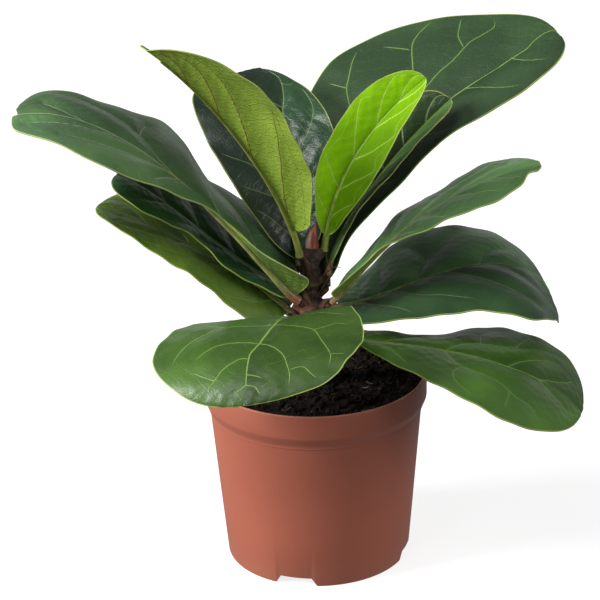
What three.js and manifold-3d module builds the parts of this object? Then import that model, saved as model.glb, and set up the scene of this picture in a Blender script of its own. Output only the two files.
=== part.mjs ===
// A potted fiddle leaf fig: twelve fiddle-shaped leaves and a closed bud on a short woody stem,
// standing in soil in a plastic nursery pot.
// Millimetres, +Z up. The origin is the middle of the pot's base, on the surface it stands on.
// -Y is the front of the plant, +X is to its right.

import * as THREE from 'three';
import { mergeVertices } from 'three/addons/utils/BufferGeometryUtils.js';
import Module from 'manifold-3d';

const wasm = await Module();
wasm.setup();

// ---------------------------------------------------------------- driving dimensions

const clearance = 0.3; // between pieces that touch

const pot = {
  lipRadius: 60,
  height: 105.2,
  bandBottom: 92, // lower end of the upright rim band
  shoulderRadius: 57.1, // where the rim's taper meets the body
  shoulderHeight: 85.4,
  footRadius: 49.7,
  wall: 1.5,
  ridge: 0.4, // fine raised line round the shoulder
  footWidth: 1.8, // narrow ring that stands on the ground
  padRadius: 30, // flat middle of the base, which carries the weight
  padSlope: 3, // run of the slope from the pad up to the channel
  channelHeight: 6, // raised drain channel between the pad and the foot
  sides: 40,
  notchCount: 4,
  firstNotch: -15, // degrees from the front, to the right
  notchWidthBelow: 23,
  notchWidthAbove: 17,
  notchHeight: 5,
  notchDepth: 14,
  notchInset: 9, // from the foot inwards, short of the base's pad
  drainCount: 4,
  drainRadius: 3,
  drainCircle: 39.5, // radius of the circle that the drain holes lie on
};

const soil = {
  top: 98.5, // mean height of the surface
  lump: 1.1, // height of the lumps
  lumpRadii: [54, 47, 39, 31, 23, 15], // rings of the surface that rise and fall
  holeBottom: 60, // the stem stands in a plain hole
};

// The stem's axis, from the foot of its hole to the flat end under the bud, with its radius.
const stem = {
  points: [
    [0, 0, soil.holeBottom + clearance, 7.0],
    [0, 0, 92, 7.0],
    [0, 0, 104, 6.9],
    [-0.6, 0, 116, 6.4],
    [-1.4, 0, 127, 6.6],
    [-1.6, 0, 134, 5.9],
    [-1.4, 0, 141, 6.6],
    [-0.6, 0, 148, 5.8],
    [0, 0, 155, 6.0],
    [-0.2, 0, 163, 4.9],
    [-0.4, 0, 170, 5.0],
    [-0.4, 0, 176.2, 4.1],
  ],
  sides: 11,
  barkStart: 110, // the stem is round below this height and rough above it
  barkDepth: 0.05, // share of the radius
  bossRadius: 2.7, // leaf cushion that carries each petiole
  bossRise: 4, // from its root on the axis to its end
  bossSides: 7,
};

const bud = {
  base: [-0.4, 0, stem.points.at(-1)[2] + clearance],
  tip: [2, 0, 189.5],
  radius: 3.7,
  tipRadius: 0.25,
  taper: 1.4, // above 1 keeps the lower half full
  bow: 0.9, // sideways bow of the sheath
  rings: 7,
  sides: 10,
};

const blade = {
  thickness: 0.9,
  rows: 15,
  halfColumns: 3,
  petioleRadius: 2.1,
  petioleSides: 6,
  petioleSteps: 7,
  ribEnd: 0.6, // the rib stands out under the blade as far as this share of it
  ribRadius: 0.9,
  ribSink: 0.5, // share of the rib's radius that it lies below the blade
  baseEnd: 0.1, // the base is rounded off over this share of the blade
  tipStart: 0.6, // the tip is rounded off from this share on
  curl: 0.1, // downward turn of the margins, as a share of the half-width
  phaseRight: 0.37, // ripples of the right side lag the left by this share of a turn
};

// Each leaf: path = points of the petiole and midrib at 0, 1/3, 2/3 and 1 of the way;
// petiole = its length; left, right = half-widths at 10, 30, 50, 70 and 90 % of the blade,
// seen from above with the tip ahead; roll raises the left side, liftLeft and liftRight
// raise each half from the midrib (degrees, from base to tip); round = bluntness of the tip
// (left, right), 2 where it isn't given; wave = height, number and phase of the ripples.
const leaves = {
  leaf_01_front_right_low: {
    path: [[7, -3, 129], [45, -18, 127], [92, -32, 122], [138, -44, 96]],
    petiole: 12,
    left: [12, 17, 45, 47, 49],
    right: [10, 29, 48, 54, 46],
    roll: [0, 0, 0],
    liftLeft: [6, 3, 5],
    liftRight: [5, 5, 5],
    baseEnd: 0.05,
    wave: [1.5, 1.5, 0.1],
    color: 0x3c6a2c,
  },
  leaf_02_left_low: {
    path: [[-10, 2, 137], [-41, 8, 160], [-81, 14, 183], [-114, 20, 194]],
    petiole: 4,
    left: [20, 24, 28, 23, 22],
    right: [24, 38, 42, 42, 40],
    roll: [0, 0, 0],
    liftLeft: [-30, 0, 5],
    liftRight: [10, 8, 5],
    baseEnd: 0.05,
    wave: [1.5, 2, 0.4],
    color: 0x3c5c28,
  },
  leaf_03_front: {
    path: [[-3, -8, 138], [-22, -42, 151], [-34, -80, 150], [-37, -105, 134]],
    petiole: 8,
    left: [37, 50, 55, 50, 45],
    right: [20, 43, 50, 51, 40],
    roll: [0, 0, 0],
    liftLeft: [23, 8, -5],
    liftRight: [-4, -3, 0],
    round: [2.4, 2.4],
    wave: [1.2, 1.5, 0.2],
    color: 0x3f7030,
  },
  leaf_04_right_low: {
    path: [[6, 4, 141], [48, 14, 147], [96, 24, 155], [131, 33, 124]],
    petiole: 8,
    left: [24, 46, 49, 43, 34],
    right: [26, 37, 43, 57, 42],
    roll: [0, 0, 0],
    liftLeft: [6, 10, 17],
    liftRight: [-2, -3, -5],
    baseEnd: 0.04,
    round: [2.5, 2.5],
    wave: [1.5, 1.5, 0.6],
    color: 0x2c4628,
  },
  leaf_05_right_middle: {
    path: [[9, -4, 146], [31, -4, 171], [67, 0, 199], [120, 6, 217]],
    petiole: 4,
    left: [8, 16, 34, 30, 34],
    right: [10, 4, 21, 27, 20],
    roll: [0, -10, -8],
    liftLeft: [20, 5, 8],
    liftRight: [50, 0, -8, -8],
    baseEnd: 0.04,
    wave: [1.2, 2.5, 0.3],
    color: 0x42663a,
  },
  leaf_06_left_middle: {
    path: [[-8, -5.5, 148], [-50, -14, 202], [-98, -16, 245], [-151, -8, 255]],
    petiole: 4,
    left: [16, 2, 20, 42, 30],
    right: [38, 52, 63, 40, 37],
    roll: [10, 2, -4],
    liftLeft: [60, 5, 0, 0],
    liftRight: [38, 7, 9, 5],
    baseEnd: 0.05,
    round: [2.4, 8],
    wave: [1.5, 2, 0.7],
    color: 0x38563a,
  },
  leaf_07_left_back: {
    path: [[-7, 5, 149], [-41, 8, 169], [-75, 12, 197], [-103, 18, 212]],
    petiole: 4,
    left: [14, 15, 13, 20, 28],
    right: [22, 34, 42, 42, 40],
    roll: [0, 0, 0],
    liftLeft: [0, 0, 5],
    liftRight: [10, 8, 5],
    baseEnd: 0.05,
    wave: [1.2, 2, 0.1],
    color: 0x24402a,
  },
  leaf_08_right_top: {
    path: [[7, 7, 151], [26, 34, 198], [78, 64, 236], [138, 88, 262]],
    petiole: 3,
    left: [20, 50, 72, 65, 41],
    right: [14, 27, 30, 40, 35],
    roll: [20, 20, 20],
    liftLeft: [0, 5, 0],
    liftRight: [20, 30, 25],
    baseEnd: 0.05,
    round: [4, 2],
    wave: [2, 1.5, 0.8],
    color: 0x30502f,
  },
  leaf_09_right_inner: {
    path: [[8, 1, 159], [18, 9, 185], [44, 24, 216], [75, 40, 243]],
    petiole: 5,
    left: [5, 11, 18, 25, 20],
    right: [8, 8, 13, 12, 15],
    roll: [20, 20, 20],
    liftLeft: [25, 25, 30],
    liftRight: [45, 42, 35],
    wave: [0.8, 2, 0.2],
    color: 0x33552c,
  },
  leaf_10_back: {
    path: [[-7, 4, 164], [-10, 22, 198], [-14, 55, 231], [-26, 88, 247]],
    petiole: 4,
    left: [15, 31, 42, 48, 52],
    right: [14, 22, 27, 21, 11],
    roll: [0, 0, 0],
    liftLeft: [15, 8, 10],
    liftRight: [25, 22, 8],
    wave: [1.5, 2, 0.5],
    color: 0x1f3a26,
  },
  leaf_11_young: {
    path: [[6, 2, 173], [14, 6, 205], [32, 14, 234], [61, 24, 260]],
    petiole: 9,
    left: [8, 16, 18, 19, 16],
    right: [11, 20, 21, 16, 11],
    roll: [45, 45, 45],
    liftLeft: [35, 35, 30],
    liftRight: [35, 35, 30],
    wave: [0.5, 2, 0.3],
    color: 0x77a81c,
  },
  leaf_12_left_top: {
    path: [[-7, -7, 174], [-18, -20, 213], [-44, -44, 263], [-78, -71, 307]],
    petiole: 17,
    left: [18, 31, 38, 37, 35],
    right: [22, 36, 35, 33, 36],
    roll: [0, 0, 0],
    liftLeft: [15, 22, 30],
    liftRight: [35, 28, 15],
    baseEnd: 0.07,
    round: [1.8, 1.2],
    wave: [1.2, 2.5, 0.6],
    color: 0x6f8a34,
  },
};

// Dried sheath remains on the stem: height, direction (degrees from the front, to the right),
// length, width and how far the flake leans out (degrees).
const flakes = [
  [122, 30, 9, 7, 14],
  [131, -150, 10, 8, 16],
  [140, 60, 11, 7, 20],
  [147, -35, 12, 8, 12],
  [155, -80, 13, 7, 22],
  [158, 150, 12, 8, 16],
  [163, -20, 12, 7, 14],
  [168, -65, 11, 6, 20],
];
const flakeThickness = 1.2;

// ---------------------------------------------------------------- helpers

const { PI, sin, cos, abs, sqrt, hypot } = Math;
const radians = THREE.MathUtils.degToRad;
const vec = (p) => new THREE.Vector3(p[0], p[1], p[2]);
const material = (color, roughness) => new THREE.MeshStandardMaterial({ color, roughness, metalness: 0 });

// A closed three.js geometry as a solid that can be joined and cut.
function toSolid(geometry) {
  const bare = geometry.clone();
  bare.deleteAttribute('normal');
  bare.deleteAttribute('uv');
  const merged = mergeVertices(bare, 1e-4);
  const vertProperties = new Float32Array(merged.attributes.position.array);
  const triVerts = new Uint32Array(merged.index.array);
  return new wasm.Manifold(new wasm.Mesh({ numProp: 3, vertProperties, triVerts }));
}

function toGeometry(solid) {
  const { vertProperties, triVerts } = solid.getMesh();
  const geometry = new THREE.BufferGeometry();
  geometry.setAttribute('position', new THREE.BufferAttribute(new Float32Array(vertProperties), 3));
  geometry.setIndex(new THREE.BufferAttribute(new Uint32Array(triVerts), 1));
  geometry.computeVertexNormals();
  return geometry;
}

function indexedGeometry(points, triangles) {
  const geometry = new THREE.BufferGeometry().setFromPoints(points);
  geometry.setIndex(triangles.flat());
  return geometry;
}

// A closed skin over rings of points that run counter-clockwise seen from the far end.
function loft(rings) {
  const n = rings[0].length;
  const last = rings.length - 1;
  const points = rings.flat();
  const centre = (ring) => ring.reduce((sum, p) => sum.add(p), new THREE.Vector3()).divideScalar(n);
  const triangles = [];
  for (let i = 0; i < last; i++) {
    for (let j = 0; j < n; j++) {
      const a = i * n + j;
      const b = i * n + ((j + 1) % n);
      triangles.push([a, b, b + n], [a, b + n, a + n]);
    }
  }
  points.push(centre(rings[0]), centre(rings[last]));
  for (let j = 0; j < n; j++) {
    const k = (j + 1) % n;
    triangles.push([points.length - 2, k, j]);
    triangles.push([points.length - 1, last * n + j, last * n + k]);
  }
  return indexedGeometry(points, triangles);
}

// A ring of points round a centre, square to a unit vector.
function ring(centre, direction, radius, sides) {
  const across = new THREE.Vector3(0, 1, 0).cross(direction).normalize();
  const over = direction.clone().cross(across);
  return Array.from({ length: sides }, (_, k) => {
    const angle = (2 * PI * k) / sides;
    const point = centre.clone().addScaledVector(across, radius * cos(angle));
    return point.addScaledVector(over, radius * sin(angle));
  });
}

// Evenly spaced values, read between by straight lines.
function along(values, t) {
  const x = t * (values.length - 1);
  const i = Math.min(Math.floor(x), values.length - 2);
  return values[i] + (values[i + 1] - values[i]) * (x - i);
}

// Evenly spaced values, read between by a smooth curve that runs on past both ends.
function smooth(values, x) {
  const last = values.length - 1;
  const v = [2 * values[0] - values[1], ...values, 2 * values[last] - values[last - 1]];
  const i = THREE.MathUtils.clamp(Math.floor(x), 0, last - 1);
  const f = x - i;
  const [p0, p1, p2, p3] = v.slice(i, i + 4);
  const slope = p2 - p0;
  const square = 2 * p0 - 5 * p1 + 4 * p2 - p3;
  const cube = 3 * p1 - p0 - 3 * p2 + p3;
  return 0.5 * (2 * p1 + slope * f + square * f * f + cube * f * f * f);
}

// The cubic through four points, evenly spaced in its parameter.
class Midrib extends THREE.Curve {
  constructor(points) {
    super();
    this.points = points.map(vec);
  }

  getPoint(t, target = new THREE.Vector3()) {
    const s = 3 * t;
    const weights = [
      (-(s - 1) * (s - 2) * (s - 3)) / 6,
      (s * (s - 2) * (s - 3)) / 2,
      (-s * (s - 1) * (s - 3)) / 2,
      (s * (s - 1) * (s - 2)) / 6,
    ];
    target.set(0, 0, 0);
    this.points.forEach((point, i) => target.addScaledVector(point, weights[i]));
    return target;
  }
}

// ---------------------------------------------------------------- leaves

// Half-width at t (0 base, 1 tip): the given widths, rounded off at both ends.
function halfWidth(widths, round, t) {
  const intoBase = 1 - Math.min(t / blade.baseEnd, 1);
  const intoTip = Math.max((t - blade.tipStart) / (1 - blade.tipStart), 0);
  const ends = sqrt(1 - intoBase ** 2) * (1 - intoTip ** 4) ** (1 / round);
  const station = (t - 0.1) / 0.2;
  return smooth(widths, station) * ends;
}

// The leaf's own directions at a point of its midrib: along it, to its left and out of its face.
function frameAt(curve, u, roll) {
  const ends = curve.points;
  const chord = ends[3].clone().sub(ends[0]);
  const sideways = new THREE.Vector3(-chord.y, chord.x, 0).normalize();
  const tangent = curve.getTangentAt(u);
  const up = tangent.clone().cross(sideways).normalize();
  const left = up.clone().cross(tangent);
  const angle = radians(roll);
  return {
    tangent,
    left: left.clone().multiplyScalar(cos(angle)).addScaledVector(up, sin(angle)),
    up: up.clone().multiplyScalar(cos(angle)).addScaledVector(left, -sin(angle)),
  };
}

// The middle surface of the blade: rows of points from the base to the tip, right to left.
function bladeRows(leaf, curve) {
  const [waveHeight, waveCount, wavePhase] = leaf.wave;
  const { left, right, round = [2, 2] } = leaf;
  const start = leaf.petiole / curve.getLength();
  const end = 0.0005; // keeps the first and last rows a little wide
  const rows = [];
  for (let i = 0; i < blade.rows; i++) {
    const t = THREE.MathUtils.clamp(0.5 - 0.5 * cos((PI * i) / (blade.rows - 1)), end, 1 - end);
    const u = start + (1 - start) * t;
    const centre = curve.getPointAt(u);
    const frame = frameAt(curve, u, along(leaf.roll, t));
    const row = [];
    for (let j = -blade.halfColumns; j <= blade.halfColumns; j++) {
      const v = j / blade.halfColumns;
      const isLeft = v > 0;
      const width = halfWidth(isLeft ? left : right, round[isLeft ? 0 : 1], t);
      const lift = radians(along(isLeft ? leaf.liftLeft : leaf.liftRight, t));
      const phase = wavePhase + (isLeft ? 0 : blade.phaseRight);
      const ripple = waveHeight * v * v * sin(2 * PI * (waveCount * t + phase)) * sqrt(sin(PI * t));
      const out = v * width * cos(lift);
      const rise = width * (abs(v) * sin(lift) - blade.curl * v * v) + ripple;
      row.push(centre.clone().addScaledVector(frame.left, out).addScaledVector(frame.up, rise));
    }
    rows.push(row);
  }
  return rows;
}

// A thin solid of even thickness on both sides of a grid of points, cut alike on both faces.
function slab(rows, thickness) {
  const n = rows.length;
  const m = rows[0].length;
  const at = (i, j) => rows[THREE.MathUtils.clamp(i, 0, n - 1)][THREE.MathUtils.clamp(j, 0, m - 1)];
  const top = [];
  const bottom = [];
  for (let i = 0; i < n; i++) {
    for (let j = 0; j < m; j++) {
      const lengthwise = at(i + 1, j).clone().sub(at(i - 1, j));
      const crosswise = at(i, j + 1).clone().sub(at(i, j - 1));
      const normal = lengthwise.cross(crosswise).normalize();
      top.push(at(i, j).clone().addScaledVector(normal, thickness / 2));
      bottom.push(at(i, j).clone().addScaledVector(normal, -thickness / 2));
    }
  }
  const t = (i, j) => i * m + j;
  const b = (i, j) => n * m + i * m + j;
  const triangles = [];
  for (let i = 0; i < n - 1; i++) {
    for (let j = 0; j < m - 1; j++) {
      triangles.push([t(i, j), t(i + 1, j), t(i + 1, j + 1)], [t(i, j), t(i + 1, j + 1), t(i, j + 1)]);
      triangles.push([b(i, j), b(i + 1, j + 1), b(i + 1, j)], [b(i, j), b(i, j + 1), b(i + 1, j + 1)]);
    }
    const j = m - 1;
    triangles.push([t(i, 0), b(i, 0), b(i + 1, 0)], [t(i, 0), b(i + 1, 0), t(i + 1, 0)]);
    triangles.push([t(i, j), b(i + 1, j), b(i, j)], [t(i, j), t(i + 1, j), b(i + 1, j)]);
  }
  for (let j = 0; j < m - 1; j++) {
    const i = n - 1;
    triangles.push([t(0, j), t(0, j + 1), b(0, j + 1)], [t(0, j), b(0, j + 1), b(0, j)]);
    triangles.push([t(i, j), b(i, j + 1), t(i, j + 1)], [t(i, j), b(i, j), b(i, j + 1)]);
  }
  return indexedGeometry([...top, ...bottom], triangles);
}

// The petiole, which runs on under the blade as its rib and thins out.
function petiole(leaf, curve) {
  const steps = blade.petioleSteps;
  const start = leaf.petiole / curve.getLength();
  const reach = start + (1 - start) * blade.ribEnd;
  const rings = [];
  for (let i = 0; i <= steps; i++) {
    const u = (reach * i) / steps;
    const share = i / steps;
    const radius = blade.petioleRadius + (blade.ribRadius - blade.petioleRadius) * sqrt(share);
    const frame = frameAt(curve, u, along(leaf.roll, share));
    const sink = Math.min(u / start, 1) * radius * blade.ribSink;
    const centre = curve.getPointAt(u).addScaledVector(frame.up, -sink);
    rings.push(ring(centre, frame.tangent, radius, blade.petioleSides));
  }
  return loft(rings);
}

function leafMesh(name, leaf) {
  const curve = new Midrib(leaf.path);
  const solid = toSolid(slab(bladeRows(leaf, curve), blade.thickness)).add(toSolid(petiole(leaf, curve)));
  const mesh = new THREE.Mesh(toGeometry(solid), material(leaf.color, 0.4));
  mesh.name = name;
  return mesh;
}

// ---------------------------------------------------------------- stem and bud

function stemAxis(height) {
  const points = stem.points;
  let i = 0;
  while (i < points.length - 2 && points[i + 1][2] < height) i++;
  const share = (height - points[i][2]) / (points[i + 1][2] - points[i][2]);
  return points[i].map((value, k) => value + (points[i + 1][k] - value) * share);
}

function stemBody() {
  const up = new THREE.Vector3(0, 0, 1);
  const rings = stem.points.map(([x, y, z, radius], i) =>
    ring(vec([x, y, z]), up, radius, stem.sides).map((p, k) => {
      const bark = z < stem.barkStart ? 1 : 1 + stem.barkDepth * sin(5 * k + 2.3 * i);
      return new THREE.Vector3(x + (p.x - x) * bark, y + (p.y - y) * bark, z);
    }),
  );
  return toSolid(loft(rings));
}

// The cushion under a leaf: a short round peg from the stem's axis to the petiole, with a flat end.
function boss(leaf) {
  const curve = new Midrib(leaf.path);
  const direction = curve.getTangentAt(0);
  const end = curve.getPointAt(0).addScaledVector(direction, -clearance);
  const root = vec(stemAxis(end.z - stem.bossRise));
  const outward = end.clone().sub(root).normalize();
  const rootRing = ring(root, outward, stem.bossRadius, stem.bossSides);
  const endRing = ring(end, direction, stem.bossRadius, stem.bossSides);
  return toSolid(loft([rootRing, endRing]));
}

// A pointed flake of dry sheath, its foot sunk in the stem.
function flake([height, direction, length, width, lean]) {
  const outline = new THREE.Shape();
  outline.moveTo(-width / 2, 0);
  outline.lineTo(width / 2, 0);
  outline.lineTo(width * 0.32, length * 0.6);
  outline.lineTo(width * 0.05, length);
  outline.lineTo(-width * 0.28, length * 0.5);
  outline.closePath();
  const geometry = new THREE.ExtrudeGeometry(outline, { depth: flakeThickness, bevelEnabled: false });
  geometry.rotateX(PI / 2);
  geometry.rotateX(radians(lean));
  const [x, y, z, radius] = stemAxis(height);
  geometry.translate(0, -(radius - flakeThickness), 0);
  geometry.rotateZ(radians(direction));
  geometry.translate(x, y, z);
  return toSolid(geometry);
}

function stemMesh() {
  let solid = stemBody();
  for (const leaf of Object.values(leaves)) solid = solid.add(boss(leaf));
  for (const row of flakes) solid = solid.add(flake(row));
  const mesh = new THREE.Mesh(toGeometry(solid), material(0x4a3226, 0.85));
  mesh.name = 'stem';
  return mesh;
}

function budMesh() {
  const base = vec(bud.base);
  const tip = vec(bud.tip);
  const up = new THREE.Vector3(0, 0, 1);
  const rings = Array.from({ length: bud.rings }, (_, i) => {
    const share = i / (bud.rings - 1);
    const centre = base.clone().lerp(tip, share);
    centre.x -= bud.bow * sin(PI * share);
    return ring(centre, up, bud.radius * (1 - share ** bud.taper) + bud.tipRadius, bud.sides);
  });
  const mesh = new THREE.Mesh(loft(rings), material(0x8a4a3c, 0.6));
  mesh.name = 'bud_sheath';
  return mesh;
}

// ---------------------------------------------------------------- pot and soil

function lathe(profile, sides) {
  const points = profile.map(([r, z]) => new THREE.Vector2(r, z));
  return new THREE.LatheGeometry(points, sides).rotateX(PI / 2);
}

// Radius of the pot's outer wall at a height on its cone.
function coneRadius(height) {
  return pot.footRadius + ((pot.shoulderRadius - pot.footRadius) * height) / pot.shoulderHeight;
}

function potProfile() {
  const { wall, ridge, lipRadius, height, bandBottom, shoulderHeight, shoulderRadius } = pot;
  const { footRadius, footWidth, padRadius, padSlope, channelHeight } = pot;
  const round = 0.8; // of the edges
  const floor = channelHeight + wall;
  const inner = lipRadius - wall;
  return [
    [0, 0],
    [padRadius, 0],
    [padRadius + padSlope, channelHeight],
    [footRadius - footWidth - wall, channelHeight],
    [footRadius - footWidth - round, 0],
    [footRadius - round, 0],
    [footRadius, round],
    [shoulderRadius, shoulderHeight - ridge],
    [shoulderRadius + ridge, shoulderHeight],
    [shoulderRadius + ridge, shoulderHeight + ridge],
    [shoulderRadius + 1.4, shoulderHeight + 3],
    [lipRadius - ridge, bandBottom - round],
    [lipRadius, bandBottom],
    [lipRadius, height - round],
    [lipRadius - ridge, height],
    [inner + ridge, height],
    [inner, height - round],
    [inner, bandBottom + round],
    [shoulderRadius - wall, shoulderHeight + round],
    [coneRadius(floor + wall) - wall, floor + wall],
    [coneRadius(floor) - 2 * wall, floor],
    [padRadius + padSlope + round, floor],
    [padRadius + round, wall],
    [0, wall],
  ];
}

// A notch in the foot, narrower above, cut from a little below the ground line.
function notch(direction) {
  const { notchWidthBelow, notchWidthAbove, notchHeight, notchDepth, notchInset } = pot;
  const outline = new THREE.Shape();
  outline.moveTo(-notchWidthBelow / 2, -1);
  outline.lineTo(notchWidthBelow / 2, -1);
  outline.lineTo(notchWidthBelow / 2, 0);
  outline.lineTo(notchWidthAbove / 2, notchHeight);
  outline.lineTo(-notchWidthAbove / 2, notchHeight);
  outline.lineTo(-notchWidthBelow / 2, 0);
  outline.closePath();
  const geometry = new THREE.ExtrudeGeometry(outline, { depth: notchDepth, bevelEnabled: false });
  geometry.rotateX(PI / 2);
  geometry.translate(0, notchInset - pot.footRadius, 0);
  geometry.rotateZ(radians(direction));
  return toSolid(geometry);
}

function drain(direction) {
  const throughFloor = 4 * pot.wall;
  const geometry = new THREE.CylinderGeometry(pot.drainRadius, pot.drainRadius, throughFloor, 10);
  geometry.rotateX(PI / 2);
  geometry.translate(0, -pot.drainCircle, pot.channelHeight);
  geometry.rotateZ(radians(direction));
  return toSolid(geometry);
}

function potMesh() {
  let solid = toSolid(lathe(potProfile(), pot.sides));
  for (let i = 0; i < pot.notchCount; i++) {
    solid = solid.subtract(notch(pot.firstNotch + (360 * i) / pot.notchCount));
  }
  for (let i = 0; i < pot.drainCount; i++) {
    solid = solid.subtract(drain(pot.firstNotch + (360 * i) / pot.drainCount));
  }
  const mesh = new THREE.Mesh(toGeometry(solid), material(0xb4634a, 0.45));
  mesh.name = 'pot';
  return mesh;
}

function soilMesh() {
  const { wall, padRadius, padSlope, channelHeight, bandBottom, lipRadius, shoulderHeight } = pot;
  const floor = channelHeight + wall + clearance;
  const hole = stem.points[0][3] + clearance;
  const inside = (height) => coneRadius(height) - wall - clearance;
  const rim = lipRadius - wall - clearance;
  const profile = [
    [0, wall + clearance],
    [padRadius, wall + clearance],
    [padRadius + padSlope + 0.6, floor],
    [inside(floor) - wall, floor],
    [inside(floor + wall), floor + wall + clearance],
    [inside(shoulderHeight), shoulderHeight + 0.7],
    [rim - 0.1, bandBottom + 1.3],
    [rim, soil.top - 1.2],
    [rim - 1, soil.top - 0.4],
    ...soil.lumpRadii.map((radius) => [radius, soil.top]),
    [hole + 1.2, soil.top + 0.6],
    [hole, soil.top],
    [hole, soil.holeBottom],
    [0, soil.holeBottom],
  ];
  const geometry = lathe(profile, pot.sides);
  const position = geometry.attributes.position;
  for (let i = 0; i < position.count; i++) {
    const x = position.getX(i);
    const y = position.getY(i);
    const radius = hypot(x, y);
    const innermost = soil.lumpRadii.at(-1);
    if (position.getZ(i) < soil.top - 0.01 || radius < innermost - 1) continue;
    const broad = sin(0.41 * x + 1.3) * cos(0.37 * y);
    const fine = 0.5 * sin(0.9 * y + 0.6 * x);
    position.setZ(i, soil.top + soil.lump * (broad + fine));
  }
  const mesh = new THREE.Mesh(geometry, material(0x2a1d16, 0.95));
  mesh.name = 'soil';
  return mesh;
}

// ---------------------------------------------------------------- the whole plant

const group = new THREE.Group();
group.add(potMesh(), soilMesh(), stemMesh(), budMesh());
for (const [name, leaf] of Object.entries(leaves)) group.add(leafMesh(name, leaf));

export default group;
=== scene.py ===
import math
import random

import bpy
import numpy as np
from mathutils import Matrix, Vector, noise


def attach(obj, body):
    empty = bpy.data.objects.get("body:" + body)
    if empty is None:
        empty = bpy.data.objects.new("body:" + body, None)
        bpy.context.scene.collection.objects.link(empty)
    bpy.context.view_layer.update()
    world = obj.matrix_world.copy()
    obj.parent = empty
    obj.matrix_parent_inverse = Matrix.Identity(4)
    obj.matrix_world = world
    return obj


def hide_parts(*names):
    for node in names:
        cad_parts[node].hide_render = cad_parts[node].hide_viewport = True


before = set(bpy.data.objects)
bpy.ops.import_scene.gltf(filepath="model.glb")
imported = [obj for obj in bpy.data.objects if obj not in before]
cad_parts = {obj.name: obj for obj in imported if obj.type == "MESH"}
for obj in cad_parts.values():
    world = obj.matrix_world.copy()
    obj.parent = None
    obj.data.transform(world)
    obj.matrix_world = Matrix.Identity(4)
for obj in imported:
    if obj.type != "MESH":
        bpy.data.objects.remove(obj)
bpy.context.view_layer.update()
print("frame loaded:", len(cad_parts), "nodes")

mm = 0.001


# small helpers for meshes

def selectOnly(piece):
    bpy.ops.object.select_all(action="DESELECT")
    piece.select_set(True)
    bpy.context.view_layer.objects.active = piece


def newPiece(operator, **settings):  # a primitive, at the origin unless the settings say where
    bpy.ops.object.select_all(action="DESELECT")
    operator(**{"location": (0, 0, 0), **settings})
    return bpy.context.object


def readVectors(piece, key):
    flat = np.empty(len(piece.data.vertices) * 3)
    piece.data.vertices.foreach_get(key, flat)
    return flat.reshape(-1, 3)


def readPoints(piece):  # in millimetres
    return readVectors(piece, "co") / mm


def writePoints(piece, points):
    piece.data.vertices.foreach_set("co", (np.asarray(points) * mm).ravel())
    piece.data.update()


def modify(piece, kind, **settings):  # adds a modifier and applies it
    modifier = piece.modifiers.new(kind, kind)
    for key, value in settings.items():
        setattr(modifier, key, value)
    selectOnly(piece)
    bpy.ops.object.modifier_apply(modifier=modifier.name)


def joinPieces(pieces):
    selectOnly(pieces[0])
    for piece in pieces[1:]:
        piece.select_set(True)
    bpy.ops.object.join()
    return pieces[0]


def closeMesh():  # in edit mode: merges doubles, turns the faces outwards, and leaves edit mode
    bpy.ops.mesh.select_all(action="SELECT")
    bpy.ops.mesh.remove_doubles(threshold=0.01 * mm)
    bpy.ops.mesh.normals_make_consistent(inside=False)
    bpy.ops.object.mode_set(mode="OBJECT")


def dress(piece, name, nodeName, sharpAngle, material=None):
    if material:
        piece.data.materials.append(material)
    selectOnly(piece)
    bpy.ops.object.transform_apply(location=True, rotation=True, scale=True)
    bpy.ops.object.shade_smooth_by_angle(angle=math.radians(sharpAngle))
    piece.name = name
    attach(piece, "root")
    if nodeName:
        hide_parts(nodeName)


def tube(points, radii, roundness=3):  # a round rod along points, radii in millimetres
    rod = newPiece(bpy.ops.curve.primitive_nurbs_path_add)
    rod.data.splines.clear()
    line = rod.data.splines.new("POLY")
    line.points.add(len(points) - 1)
    for spot, point, radius in zip(line.points, points, radii):
        spot.co = (*(np.asarray(point) * mm), 1)
        spot.radius = radius
    rod.data.dimensions = "3D"
    rod.data.bevel_depth = mm
    rod.data.bevel_resolution = roundness
    rod.data.use_fill_caps = True
    bpy.ops.object.convert(target="MESH")
    bpy.ops.object.mode_set(mode="EDIT")
    closeMesh()
    return bpy.context.object


def spinProfile(profile, steps):  # turns a profile of (radius, height) round the upright axis
    piece = newPiece(bpy.ops.mesh.primitive_plane_add, size=mm)
    bpy.ops.object.mode_set(mode="EDIT")
    bpy.ops.mesh.merge(type="CENTER")
    r, z = profile[0]
    bpy.ops.transform.translate(value=(r * mm, 0, z * mm))
    for (r0, z0), (r1, z1) in zip(profile, profile[1:]):
        step = ((r1 - r0) * mm, 0, (z1 - z0) * mm)
        bpy.ops.mesh.extrude_region_move(TRANSFORM_OT_translate={"value": step})
    bpy.ops.mesh.select_all(action="SELECT")
    bpy.ops.mesh.spin(steps=steps, angle=2 * math.pi, center=(0, 0, 0), axis=(0, 0, 1))
    closeMesh()
    return piece


# small helpers for materials, which add nodes to the newest one

current = {}


class Value:  # a node's output, which takes part in sums
    def __init__(self, socket):
        self.socket = socket

    def __add__(self, other):
        return compute("ADD", self, other)

    def __sub__(self, other):
        return compute("SUBTRACT", self, other)

    def __mul__(self, other):
        return compute("MULTIPLY", self, other)

    def __truediv__(self, other):
        return compute("DIVIDE", self, other)

    def __abs__(self):
        return compute("ABSOLUTE", self)


def newMaterial(name):
    current["material"] = bpy.data.materials.new(name)
    current["material"].use_nodes = True
    current["tree"] = current["material"].node_tree


def feed(socket, value):
    if isinstance(value, Value):
        current["tree"].links.new(value.socket, socket)
    else:
        socket.default_value = value


def node(kind, inputs, **settings):
    made = current["tree"].nodes.new(kind)
    for key, value in settings.items():
        setattr(made, key, value)
    for key, value in inputs.items():
        feed(made.inputs[key], value)
    return [Value(socket) for socket in made.outputs]


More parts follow.
